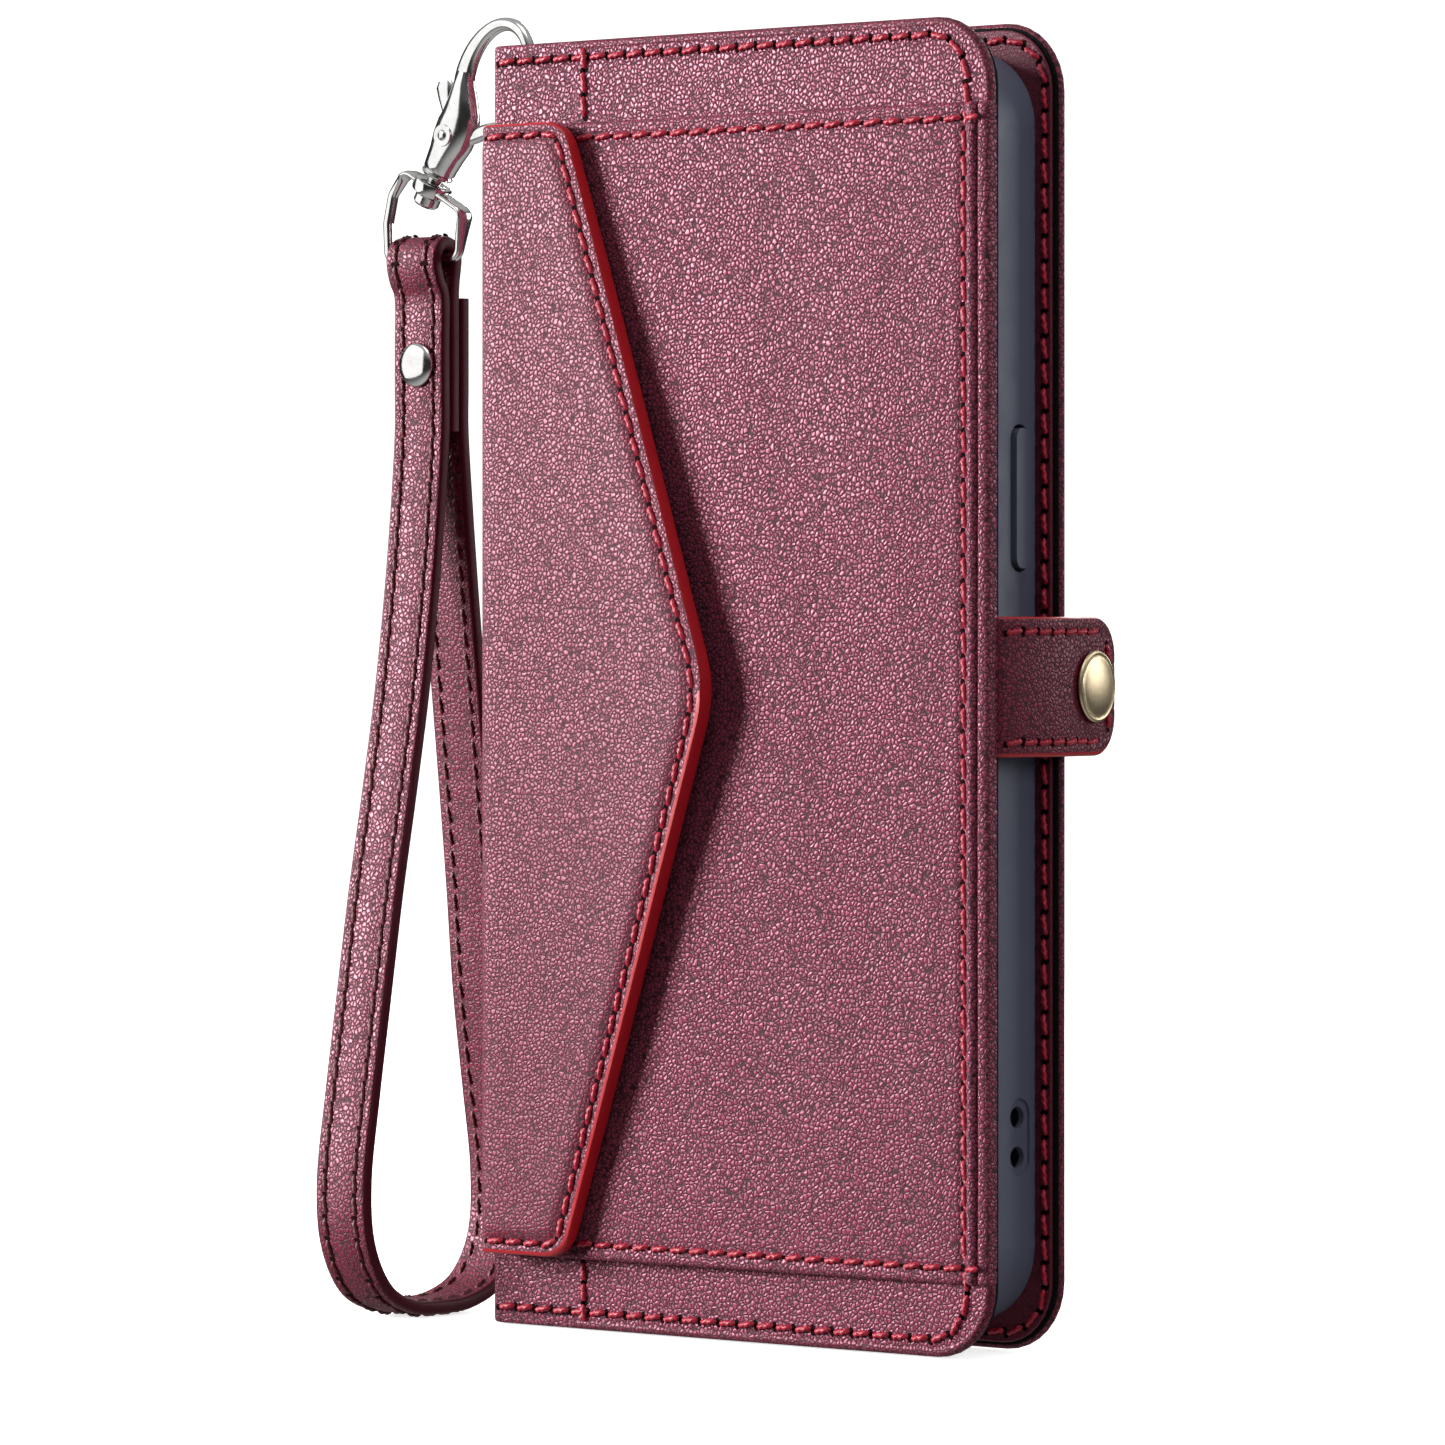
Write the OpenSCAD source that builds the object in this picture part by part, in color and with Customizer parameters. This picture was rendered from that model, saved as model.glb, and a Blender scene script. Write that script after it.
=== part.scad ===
// Book-style wallet case for a large phone, with an envelope pouch, a snap tab and a wrist strap.
// Case frame: X from the spine's outer face, Y from the front cover's outer plane, Z up from the base.
// placed() carries each part from that frame to the model's origin, under the middle of the case.

/* [Covers] */
// Width of a cover, spine to opening edge
cover_w = 85; // [83:0.5:90]
// Height of the covers
cover_h = 170; // [168:0.5:176]
// Radius of the covers' outer corners
cover_r = 9; // [6:0.5:12]
// Thickness of the closed case, front plane to back plane
case_t = 15.4; // [15:0.1:17]
// Thickness of the outer leather
leather_t = 0.8; // [0.6:0.1:1]
// Thickness of the front stiffening board
front_board_t = 1.2; // [1:0.1:1.4]

/* [Phone shell] */
// Width of the soft shell
shell_w = 79.5; // [78:0.5:80]
// Height of the soft shell
shell_h = 162.8; // [160:0.2:164]
// Depth of the soft shell
shell_d = 9.9; // [9.5:0.1:10]
// Thickness of the shell's side walls
shell_wall = 1.25; // [1:0.05:1.5]
// Radius of the shell's corners
shell_r = 10; // [8:0.5:11]
// Size of the camera cut-out, across and up
camera_cut = [36.5, 38]; // [30:0.5:40]

/* [Pouch and flap] */
// Height of the pouch
pouch_h = 149.6; // [140:0.2:152]
// How far the pouch stands out at its mouth
pouch_mouth = 3; // [2.5:0.1:3.1]
// Reach of the flap's tip before rounding
flap_reach = 43.3; // [35:0.1:48]
// Thickness of one flap layer
flap_layer = 0.9; // [0.7:0.1:0.9]

/* [Closing tab] */
// Height of the tab
tab_h = 17.8; // [14:0.2:20]
// Thickness of the tab
tab_t = 1.2; // [1:0.1:1.3]
// Length of the tab past the case's back corner
tab_tip_len = 9; // [8.6:0.1:11]
// Lean of the unfastened tip towards the case, in degrees
tab_lean = 8; // [5:0.5:9]

/* [Wrist strap] */
// Width of the strap
strap_w = 9; // [8:0.5:9]
// Thickness of the strap
strap_t = 1.8; // [1.6:0.1:1.8]
// Lean of the clasp from upright, in degrees
clasp_lean = 30; // [25:1:32]

/* [Hidden] */
$fn = 48;

origin = [43.86, 10.015, 0];
mid_z = cover_h / 2;

// Hinge lines of the covers: the middle of the leather at the two spine corners
fold_gap = 1.3;
spine_gap = 1.2;
lining_t = 0.3;
back_lining_t = 0.5;
spine_lining_t = 0.4;

// Phone shell
shell_x = 1.8;
shell_z = (cover_h - shell_h) / 2;
shell_back = case_t - leather_t - 2 * back_lining_t;
shell_front = shell_back - shell_d;
shell_plate = 1.2;
shell_lip = 0.4;
lip_reach = 0.8;
camera_x = shell_x + shell_w - 4.4 - camera_cut[0];
camera_z = shell_z + shell_h - 5.4 - camera_cut[1];
camera_r = 9;
side_y = 10.4;
power_z = 109;
power_len = 17.9;
button_w = 2.6;
button_gap = 0.5;
power_proud = 0.6;
volume_proud = 0.3;
volume_len = 11;
volume_z = [118, 102];
mute_z = 133;
mute_len = 6;
lanyard_z = [30.1, 25];
lanyard_r = 1.4;
lanyard_sink = 0.4;
port_y = 8;

// Clasp plane and eyelet
clasp_y = 4.6;
eyelet_z = 162.5;
eyelet_r = 2.75;
eyelet_wall = 0.25;
eyelet_rim = 3.35;
eyelet_rim_t = 0.25;

// Inner pockets: each panel lies on the one before it
pocket_t = 0.25;
pocket_gap = 0.03;
pocket_x = [22, 34, 46];
pocket_end = 80.5;
pocket_z = 39;
pocket_h = 92;

// Pouch and flap
pouch_x = 3.9;
pouch_end = 84.6;
pouch_z = 9.4;
pouch_wall = 0.8;
pouch_thin = 1.1;
flap_x = 2.4;
flap_z = [9.7, 159.1];
flap_tip_z = 84.4;
flap_shoulder = 18.3;
flap_gap = 0.2;
flap_inner = -pouch_mouth - flap_gap;
flap_root_y = -0.9;
magnet_x = 32;
magnet_r = 5;

// Closing tab: the base is an arc from its hinge to the corner where the tip folds
tab_hinge = [cover_w + 0.4, leather_t + front_board_t / 2];
tab_corner = [cover_w + 0.45, case_t + 0.55];
tab_bulge = 1;
tab_end_lean = 13;
tab_start = 0.35;
tab_corner_r = 4.5;
tab_arc_end = tab_corner + tab_t / 2 * [cos(tab_end_lean), sin(tab_end_lean)];
tab_chord = tab_arc_end - tab_hinge;
tab_half = norm(tab_chord) / 2;
tab_radius = (tab_half * tab_half + tab_bulge * tab_bulge) / (2 * tab_bulge);
tab_sweep = asin(tab_half / tab_radius);
tab_aim = atan2(tab_chord[1], tab_chord[0]) - 90;
tab_arc_centre = (tab_hinge + tab_arc_end) / 2
    - (tab_radius - tab_bulge) * [cos(tab_aim), sin(tab_aim)];
snap_at = 3.3;
snap_r = 4.6;
socket_r = 2.65;
socket_t = 0.7;
stud_r = 2.6;
stud_t = 0.3;
stud_nub = 1.1;
stud_nub_h = 0.7;
post_r = 0.9;

// Clasp, in its own plane: x across the clasp, y along it, origin at the pin
clasp_pin_at = [-10.6, clasp_y, 158.7];
hook_centre = [2.9, 10.5];
hook_outer = [6.3, 8.3];
hook_inner = [4.5, 6.5];
hook_t = 1.8;
body_t = 4.4;
slot_t = 2;
lever_t = 1.4;
pin_r = 0.8;
collar_u = -6.2;
bar_u = [-8.6, -7];
post_head_u = -10.6;
swivel_r = 1;

// Wrist strap: middle line of the band in the Y-Z plane, from the folded end round to the other end
ring_wire = 0.7;
strap_x = -20.5;
ring_z = 142.4;
rivet_z = 128;
rivet_r = 3;
strap_route = [
    [6.1, 119], [6.1, 125], [6.1, 131], [6.1, 137], [6.25, 139.3], [6.5, 141], [6.6, 142.4],
    [6.01, 143.81], [4.6, 144.4], [3.19, 143.81], [2.6, 142.4], [2.68, 141], [3.2, 139.3],
    [4.2, 137], [4.2, 131], [4.2, 125], [4.2, 119], [3.5, 110],
    [2.2, 98], [0.2, 84], [-2.4, 70], [-5, 57], [-7.4, 43], [-9.6, 30], [-11.2, 19], [-10.6, 10.5],
    [-7.2, 4.2], [-2, 1.5], [4, 1], [10, 1.5], [15.4, 4], [19, 10], [19.4, 19], [17.8, 30],
    [15.9, 43], [14.6, 57], [13.2, 70], [11.6, 84], [10, 98], [8.8, 110], [8.05, 119],
    [8.05, 125], [8.05, 131], [8.05, 137]
];

module placed() {
    translate(-origin) children();
}

// Rectangle with round corners, its low corner at the origin
module rounded_rect(w, h, r) {
    translate([r, 0]) square([w - 2 * r, h]);
    translate([0, r]) square([w, h - 2 * r]);
    for (x = [r, w - r], y = [r, h - r]) translate([x, y]) circle(r);
}

// Panel in the X-Z plane, from y0 to y1 deep, drawn in X and Z
module panel(y0, y1) {
    translate([0, y1, 0]) rotate([90, 0, 0]) linear_extrude(y1 - y0) children();
}

// Cover outline: square at the spine, round at the opening edge
module cover_outline(x0, x1, inset) {
    r = cover_r - inset;
    translate([x0, inset]) square([x1 - x0 - r, cover_h - 2 * inset]);
    translate([x0, inset + r]) square([x1 - x0, cover_h - 2 * inset - 2 * r]);
    for (z = [inset + r, cover_h - inset - r]) translate([x1 - r, z]) circle(r);
}

module camera_outline(extra) {
    translate([camera_x - extra, camera_z - extra])
        rounded_rect(camera_cut[0] + 2 * extra, camera_cut[1] + 2 * extra, camera_r + extra);
}

// Slot with round ends, centred on y and z, through a wall that faces X
module side_slot(x0, x1, y, z, len, w) {
    for (end = [-1, 1])
        translate([x0, y, z + end * (len - w) / 2]) rotate([0, 90, 0]) cylinder(h = x1 - x0, d = w);
    translate([x0, y - w / 2, z - (len - w) / 2]) cube([x1 - x0, w, len - w]);
}

// Slot with round ends through the shell's bottom wall
module bottom_slot(x, len, w) {
    for (end = [-1, 1])
        translate([x + end * (len - w) / 2, port_y, shell_z - 1]) cylinder(h = shell_wall + 2, d = w);
    translate([x - (len - w) / 2, port_y - w / 2, shell_z - 1]) cube([len - w, w, shell_wall + 2]);
}

// Back cover

module stud_hole() {
    translate([tab_corner[0] - snap_at, case_t + 1, mid_z]) rotate([90, 0, 0]) cylinder(h = 2.3, r = 0.8);
}

module back_leather() {
    color("#6e2a38") placed() difference() {
        panel(case_t - leather_t, case_t) difference() {
            cover_outline(fold_gap, cover_w, 0);
            camera_outline(0.8);
        }
        stud_hole();
    }
}

module back_board() {
    y = case_t - leather_t;
    color("#3a3336") placed() difference() {
        panel(y - back_lining_t, y) difference() {
            cover_outline(fold_gap + 0.7, cover_w - 0.8, 0.8);
            camera_outline(1.2);
        }
        stud_hole();
    }
}

module back_lining() {
    color("#612532") placed() panel(shell_back, shell_back + back_lining_t) difference() {
        cover_outline(fold_gap + 0.3, cover_w - 0.4, 0.4);
        camera_outline(0.6);
    }
}

module phone_shell() {
    color("#3b3e49") placed() difference() {
        panel(shell_front, shell_back) difference() {
            translate([shell_x, shell_z]) rounded_rect(shell_w, shell_h, shell_r);
            camera_outline(0);
        }
        panel(shell_front + shell_lip, shell_back - shell_plate)
            translate([shell_x + shell_wall, shell_z + shell_wall])
                rounded_rect(shell_w - 2 * shell_wall, shell_h - 2 * shell_wall, shell_r - shell_wall);
        panel(shell_front - 1, shell_front + 1)
            translate([shell_x + shell_wall + lip_reach, shell_z + shell_wall + lip_reach])
                rounded_rect(shell_w - 2 * (shell_wall + lip_reach),
                    shell_h - 2 * (shell_wall + lip_reach), shell_r - shell_wall - lip_reach);
        right = shell_x + shell_w;
        side_slot(right - shell_wall - 1, right + 1, side_y, power_z,
            power_len + 2 * button_gap, button_w + 2 * button_gap);
        for (z = volume_z)
            side_slot(shell_x - 1, shell_x + shell_wall + 1, side_y, z,
                volume_len + 2 * button_gap, button_w + 2 * button_gap);
        side_slot(shell_x - 1, shell_x + shell_wall + 1, side_y, mute_z, mute_len, button_w + 1);
        side_slot(right - lanyard_sink, right + 1, side_y, (lanyard_z[0] + lanyard_z[1]) / 2, 10, 4.2);
        for (z = lanyard_z)
            translate([right - shell_wall - 1, side_y, z]) rotate([0, 90, 0]) cylinder(h = 4, r = lanyard_r);
        bottom_slot(shell_x + shell_w / 2, 13, 5);
        for (side = [-1, 1]) bottom_slot(shell_x + shell_w / 2 + side * 20, 15, 3);
    }
}

module snap_stud() {
    x = tab_corner[0] - snap_at;
    color("#b99a5b") placed() translate([x, case_t, mid_z]) rotate([-90, 0, 0]) {
        translate([0, 0, -1.2]) cylinder(h = 1.2 + stud_t, r = 0.8);
        cylinder(h = stud_t, r = stud_r);
        cylinder(h = stud_nub_h, r = stud_nub);
    }
}

// Side buttons of the shell

module power_button() {
    right = shell_x + shell_w;
    color("#40434f") placed()
        side_slot(right - 1, right + power_proud, side_y, power_z, power_len, button_w);
}

module volume_button(z) {
    color("#40434f") placed()
        side_slot(shell_x - volume_proud, shell_x + 1, side_y, z, volume_len, button_w);
}

module volume_up() {
    volume_button(volume_z[0]);
}

module volume_down() {
    volume_button(volume_z[1]);
}

// Spine

module eyelet_hole(r) {
    translate([-1, clasp_y, eyelet_z]) rotate([0, 90, 0]) cylinder(h = 4, r = r);
}

module spine_leather() {
    color("#6e2a38") placed() difference() {
        translate([0, spine_gap, 0]) cube([leather_t, case_t - 2 * spine_gap, cover_h]);
        eyelet_hole(eyelet_r + eyelet_wall);
    }
}

module spine_lining() {
    color("#612532") placed() difference() {
        translate([leather_t, spine_gap + 0.3, 0.4])
            cube([spine_lining_t, case_t - 2 * spine_gap - 0.6, cover_h - 0.8]);
        eyelet_hole(eyelet_r + eyelet_wall);
    }
}

module spine_eyelet() {
    total = leather_t + spine_lining_t + 2 * eyelet_rim_t;
    color("#c9c9cc") placed() translate([-eyelet_rim_t, clasp_y, eyelet_z]) rotate([0, 90, 0]) difference() {
        union() {
            cylinder(h = total, r = eyelet_r + eyelet_wall);
            for (x = [0, total - eyelet_rim_t]) translate([0, 0, x]) cylinder(h = eyelet_rim_t, r = eyelet_rim);
        }
        translate([0, 0, -1]) cylinder(h = total + 2, r = eyelet_r);
    }
}

// Front cover

module front_leather() {
    color("#6e2a38") placed() panel(0, leather_t) cover_outline(fold_gap, cover_w, 0);
}

module front_board() {
    color("#2b2629") placed() difference() {
        panel(leather_t, leather_t + front_board_t) cover_outline(fold_gap + 0.7, cover_w - 0.4, 0.5);
        translate([76, 0, mid_z - tab_h / 2]) cube([12, 5, tab_h]);
    }
}

module front_lining() {
    y = leather_t + front_board_t;
    color("#612532") placed() panel(y, y + lining_t) cover_outline(fold_gap + 0.3, cover_w - 1.5, 1);
}

// Back face of the pocket panel in layer n
function pocket_y(n) = leather_t + front_board_t + lining_t + pocket_gap + n * (pocket_t + pocket_gap);

module cash_pocket() {
    color("#66303a") placed() panel(pocket_y(0), pocket_y(0) + pocket_t)
        translate([14, 5]) square([68, cover_h - 10]);
}

module card_pocket(n) {
    color("#6a2c38") placed() panel(pocket_y(n), pocket_y(n) + pocket_t)
        translate([pocket_x[n - 1], pocket_z]) square([pocket_end - pocket_x[n - 1], pocket_h]);
}

module card_pocket_1() {
    card_pocket(1);
}

module card_pocket_2() {
    card_pocket(2);
}

module card_pocket_3() {
    card_pocket(3);
}

module tab_root() {
    color("#6e2a38") placed() translate([76, leather_t, mid_z - tab_h / 2])
        cube([cover_w - 0.8 - 76, front_board_t, tab_h]);
}

// Envelope pouch

module pouch_back() {
    color("#612532") placed() panel(-0.4, 0)
        translate([pouch_x + 0.4, pouch_z + 1]) square([pouch_end - pouch_x - 1.6, pouch_h - 2]);
}

module pouch_front() {
    color("#732d3b") placed() translate([0, 0, pouch_z]) difference() {
        linear_extrude(pouch_h)
            polygon([[pouch_x, 0], [pouch_x, -pouch_mouth], [pouch_end, -pouch_thin], [pouch_end, 0]]);
        translate([0, 0, pouch_wall]) linear_extrude(pouch_h - 2 * pouch_wall) polygon([
            [pouch_x - 1, 1], [pouch_x - 1, pouch_wall - pouch_mouth],
            [pouch_x, pouch_wall - pouch_mouth], [pouch_end - pouch_wall, 0.6 - pouch_thin],
            [pouch_end - pouch_wall, 1]
        ]);
    }
}

module pouch_keeper() {
    color("#8d8f94") placed() translate([magnet_x, -0.8, flap_tip_z]) rotate([90, 0, 0])
        cylinder(h = 0.5, r = magnet_r + 0.5);
}

// Flap

// Arc that rounds the corner at b of the path a-b-c to radius r
function corner_arc(a, b, c, r, steps = 8) =
    let (
        u = (a - b) / norm(a - b),
        v = (c - b) / norm(c - b),
        half = acos(u * v) / 2,
        m = (u + v) / norm(u + v),
        centre = b + m * r / sin(half),
        from = b + u * r / tan(half) - centre,
        to = b + v * r / tan(half) - centre,
        start = atan2(from[1], from[0]),
        turn = ((atan2(to[1], to[0]) - start + 540) % 360) - 180
    )
    [for (i = [0:steps]) centre + r * [cos(start + turn * i / steps), sin(start + turn * i / steps)]];

module flap_outline(x0) {
    low = [flap_shoulder, flap_z[0]];
    tip = [flap_reach, flap_tip_z];
    high = [flap_shoulder, flap_z[1]];
    polygon(concat(
        [[x0, flap_z[0]]], corner_arc([x0, flap_z[0]], low, tip, 4.5),
        corner_arc(low, tip, high, 22), corner_arc(tip, high, [x0, flap_z[1]], 4.5),
        [[x0, flap_z[1]]]
    ));
}

module flap_outer() {
    outer = flap_inner - 2 * flap_layer;
    color("#732d3b") placed() {
        panel(outer, outer + flap_layer) flap_outline(flap_x);
        translate([flap_x, outer + flap_layer, flap_z[0]])
            cube([flap_layer, flap_root_y - outer - flap_layer, flap_z[1] - flap_z[0]]);
        translate([flap_x + flap_layer / 2, flap_root_y, flap_z[0]])
            cylinder(h = flap_z[1] - flap_z[0], d = flap_layer);
    }
}

module flap_lining() {
    color("#8a1f2a") placed() difference() {
        panel(flap_inner - flap_layer, flap_inner) flap_outline(flap_x + flap_layer);
        translate([magnet_x, 0, flap_tip_z]) rotate([90, 0, 0]) cylinder(h = 20, r = magnet_r);
    }
}

module flap_magnet() {
    color("#77797d") placed() translate([magnet_x, flap_inner - 0.2, flap_tip_z]) rotate([90, 0, 0])
        cylinder(h = flap_layer - 0.2, r = magnet_r);
}

// Closing tab

function arc_points(centre, r, from, to, steps) =
    [for (i = [0:steps]) let (a = from + (to - from) * i / steps) centre + r * [cos(a), sin(a)]];

module tab_base() {
    low = tab_aim - tab_sweep;
    high = tab_aim + tab_sweep;
    color("#6b2333") placed() translate([0, 0, mid_z - tab_h / 2]) linear_extrude(tab_h)
        polygon(concat(
            arc_points(tab_arc_centre, tab_radius + tab_t / 2, low, high, 16),
            arc_points(tab_arc_centre, tab_radius - tab_t / 2, high, low, 16),
            arc_points(tab_hinge, tab_t / 2 - 0.02, low + 190, low + 350, 8)
        ));
}

// Frame of the tip: x outwards from its inner face, y along it from the fold, z up from mid-height
module tip_frame() {
    placed() translate([tab_corner[0], tab_corner[1], mid_z]) rotate([0, 0, tab_lean]) children();
}

module tab_tip() {
    color("#6b2333") tip_frame() difference() {
        translate([0, 0, 0]) rotate([0, 90, 0]) linear_extrude(tab_t) difference() {
            translate([-tab_h / 2, tab_start]) square([tab_h, tab_tip_len - tab_start]);
            for (side = [-1, 1]) translate([side * tab_h / 2, tab_tip_len]) difference() {
                square(2 * tab_corner_r, center = true);
                translate([-side * tab_corner_r, -tab_corner_r]) circle(tab_corner_r);
            }
        }
        translate([-1, snap_at, 0]) rotate([0, 90, 0]) cylinder(h = 1 + socket_t, r = socket_r);
        translate([-1, snap_at, 0]) rotate([0, 90, 0]) cylinder(h = 4, r = post_r);
    }
}

module snap_cap() {
    color("#c9a86a") tip_frame() translate([tab_t, snap_at, 0]) rotate([0, 90, 0]) {
        translate([0, 0, socket_t - tab_t]) cylinder(h = tab_t - socket_t + 0.3, r = post_r);
        cylinder(h = 0.3, r = 2.2);
        dome_h = 1;
        dome_r = (snap_r * snap_r + dome_h * dome_h) / (2 * dome_h);
        translate([0, 0, 0.3]) cylinder(h = 0.4, r = snap_r);
        translate([0, 0, 0.7]) intersection() {
            translate([0, 0, dome_h - dome_r]) sphere(dome_r, $fn = 96);
            cylinder(h = 2, r = snap_r);
        }
    }
}

module snap_socket() {
    color("#b99a5b") tip_frame() translate([0, snap_at, 0]) rotate([0, 90, 0]) difference() {
        cylinder(h = socket_t, r = socket_r);
        translate([0, 0, -1]) cylinder(h = 1.45, r = 1.6);
    }
}

// Clasp

// Frame of the clasp: x across it, y along it, z towards the front
module clasp_frame() {
    placed() translate(clasp_pin_at) rotate([0, clasp_lean, 0]) rotate([90, 0, 0]) children();
}

function oval(size) = [for (a = [0:7.5:359]) hook_centre + [size[0] * cos(a), size[1] * sin(a)]];

module clasp_hook() {
    color("#c9c9cc") clasp_frame() difference() {
        union() {
            linear_extrude(hook_t, center = true) difference() {
                polygon(oval(hook_outer));
                polygon(oval(hook_inner));
                polygon([[3.4, 0], [3.4, 4.6], [5.4, 5.9], [8.2, 3.2], [6, 0]]);
            }
            linear_extrude(body_t, center = true) difference() {
                polygon([
                    [-1.9, -5.4], [1.9, -5.4], [3.2, 0], [3.4, 3], [1.6, 4], [-0.6, 6.4],
                    [-1.5, 9], [-3.2, 9], [-3.1, 3], [-2.6, -1]
                ]);
                polygon(oval(hook_inner));
            }
            translate([0, collar_u, 0]) rotate([-90, 0, 0]) cylinder(h = 1, r = 2.2);
        }
        translate([-8, -3, -slot_t / 2]) cube([16, 11, slot_t]);
        translate([0, 0, -5]) cylinder(h = 10, r = pin_r);
    }
}

module clasp_pin() {
    color("#c9c9cc") clasp_frame() {
        cylinder(h = body_t, r = pin_r, center = true);
        for (side = [-1, 1]) translate([0, 0, side * (body_t / 2 + 0.15)])
            cylinder(h = 0.3, r = 1.5, center = true);
    }
}

module gate_lever() {
    color("#c9c9cc") clasp_frame() translate([0, 0, 0.2 - slot_t / 2]) linear_extrude(lever_t) difference() {
        union() {
            polygon([
                [-1.2, -1.2], [0, -1.7], [1.2, -1.2], [5.9, 3], [6.6, 4.2], [5.6, 5.1],
                [0.2, 1.9], [-3.6, 6], [-4.9, 6.4], [-5.9, 5.6], [-5.8, 4.3]
            ]);
        }
        circle(pin_r + 0.05);
    }
}

module gate_spring() {
    color("#9fa1a6") clasp_frame() translate([0, 0, slot_t / 2 - 0.35]) linear_extrude(0.3) difference() {
        circle(1.4);
        circle(pin_r + 0.1);
    }
}

module swivel_post() {
    color("#c9c9cc") clasp_frame() rotate([90, 0, 0]) {
        translate([0, 0, -collar_u]) cylinder(h = collar_u - post_head_u - 1, r = swivel_r);
        translate([0, 0, -bar_u[0] + 0.15]) cylinder(h = bar_u[0] - post_head_u - 0.15, r = 1.8);
    }
}

// Point of the clasp's plane, in case X and Z
function clasp_point(p) = [clasp_pin_at[0], clasp_pin_at[2]]
    + p[0] * [cos(clasp_lean), -sin(clasp_lean)] + p[1] * [sin(clasp_lean), cos(clasp_lean)];

bar_mid = (bar_u[0] + bar_u[1]) / 2;
ring_corners = [
    clasp_point([-5, bar_mid]), [-21.6, 151.2], [-22.5, 147.4], [-22.3, ring_z], [-9.9, ring_z],
    clasp_point([7, bar_mid])
];

// Corners of a closed path, each rounded to radius r
function rounded_path(p, r) =
    let (n = len(p))
    [for (i = [0:n - 1]) each corner_arc(p[(i + n - 1) % n], p[i], p[(i + 1) % n], r, 3)];

// Closed path moved sideways by d
function beside(p, d) =
    let (n = len(p))
    [for (i = [0:n - 1])
        let (
            a = p[i] - p[(i + n - 1) % n],
            b = p[(i + 1) % n] - p[i],
            u = a / norm(a),
            v = b / norm(b),
            m = [-u[1] - v[1], u[0] + v[0]]
        )
        p[i] + m / norm(m) * d / sqrt((1 + u * v) / 2)];

module d_ring() {
    path = rounded_path(ring_corners, 1.2);
    color("#c9c9cc") difference() {
        union() {
            placed() translate([0, clasp_y + ring_wire, 0]) rotate([90, 0, 0])
                linear_extrude(2 * ring_wire) difference() {
                    polygon(beside(path, -ring_wire));
                    polygon(beside(path, ring_wire));
                }
            clasp_frame() translate([-2.4, bar_u[0], -1.7]) cube([4.8, bar_u[1] - bar_u[0], 3.4]);
        }
        clasp_frame() translate([0, -5, 0]) rotate([90, 0, 0]) cylinder(h = 5, r = swivel_r + 0.08);
    }
}

// Wrist strap

// Point t of the way along segment i of the smooth curve through the route
function route_point(i, t) =
    let (
        n = len(strap_route) - 1,
        p0 = strap_route[max(i - 1, 0)], p1 = strap_route[i],
        p2 = strap_route[i + 1], p3 = strap_route[min(i + 2, n)]
    )
    0.5 * (2 * p1 + (p2 - p0) * t + (2 * p0 - 5 * p1 + 4 * p2 - p3) * t * t
        + (3 * p1 - p0 - 3 * p2 + p3) * t * t * t);

route_steps = 3;
strap_line = concat(
    [for (i = [0:len(strap_route) - 2], s = [0:route_steps - 1]) route_point(i, s / route_steps)],
    [strap_route[len(strap_route) - 1]]
);

function line_normal(i) =
    let (
        d = strap_line[min(i + 1, len(strap_line) - 1)] - strap_line[max(i - 1, 0)],
        u = d / norm(d)
    )
    [-u[1], u[0]];

module strap_band() {
    last = len(strap_line) - 1;
    polygon(concat(
        [for (i = [0:last]) strap_line[i] + line_normal(i) * strap_t / 2],
        [for (i = [last:-1:0]) strap_line[i] - line_normal(i) * strap_t / 2]
    ));
}

// The band's plane: drawn in Y and Z, extruded along X
module strap_frame(x) {
    placed() translate([x, 0, 0]) rotate([90, 0, 90]) children();
}

module strap_loop() {
    color("#6e2a38") difference() {
        strap_frame(strap_x) linear_extrude(strap_w) strap_band();
        placed() translate([strap_x + strap_w / 2, 11, rivet_z]) rotate([90, 0, 0]) cylinder(h = 9, r = 0.9);
    }
}

module strap_rivet_cap() {
    dome_h = 0.9;
    dome_r = (rivet_r * rivet_r + dome_h * dome_h) / (2 * dome_h);
    color("#d5d5d8") placed() translate([strap_x + strap_w / 2, 3.3, rivet_z]) rotate([90, 0, 0]) {
        cylinder(h = 0.4, r = rivet_r);
        translate([0, 0, 0.4]) intersection() {
            translate([0, 0, dome_h - dome_r]) sphere(dome_r, $fn = 96);
            cylinder(h = 2, r = rivet_r);
        }
    }
}

module strap_rivet_back() {
    color("#d5d5d8") placed() translate([strap_x + strap_w / 2, 3.3, rivet_z]) rotate([-90, 0, 0]) {
        cylinder(h = 6, r = 0.9);
        translate([0, 0, 5.65]) cylinder(h = 0.6, r = rivet_r);
    }
}

back_leather();
back_board();
back_lining();
phone_shell();
snap_stud();
power_button();
volume_up();
volume_down();
spine_leather();
spine_lining();
spine_eyelet();
front_leather();
front_board();
front_lining();
cash_pocket();
card_pocket_1();
card_pocket_2();
card_pocket_3();
tab_root();
pouch_back();
pouch_front();
pouch_keeper();
flap_outer();
flap_lining();
flap_magnet();
tab_base();
tab_tip();
snap_cap();
snap_socket();
clasp_hook();
clasp_pin();
gate_lever();
gate_spring();
swivel_post();
d_ring();
strap_loop();
strap_rivet_cap();
strap_rivet_back();
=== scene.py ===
import math
import random

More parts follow.
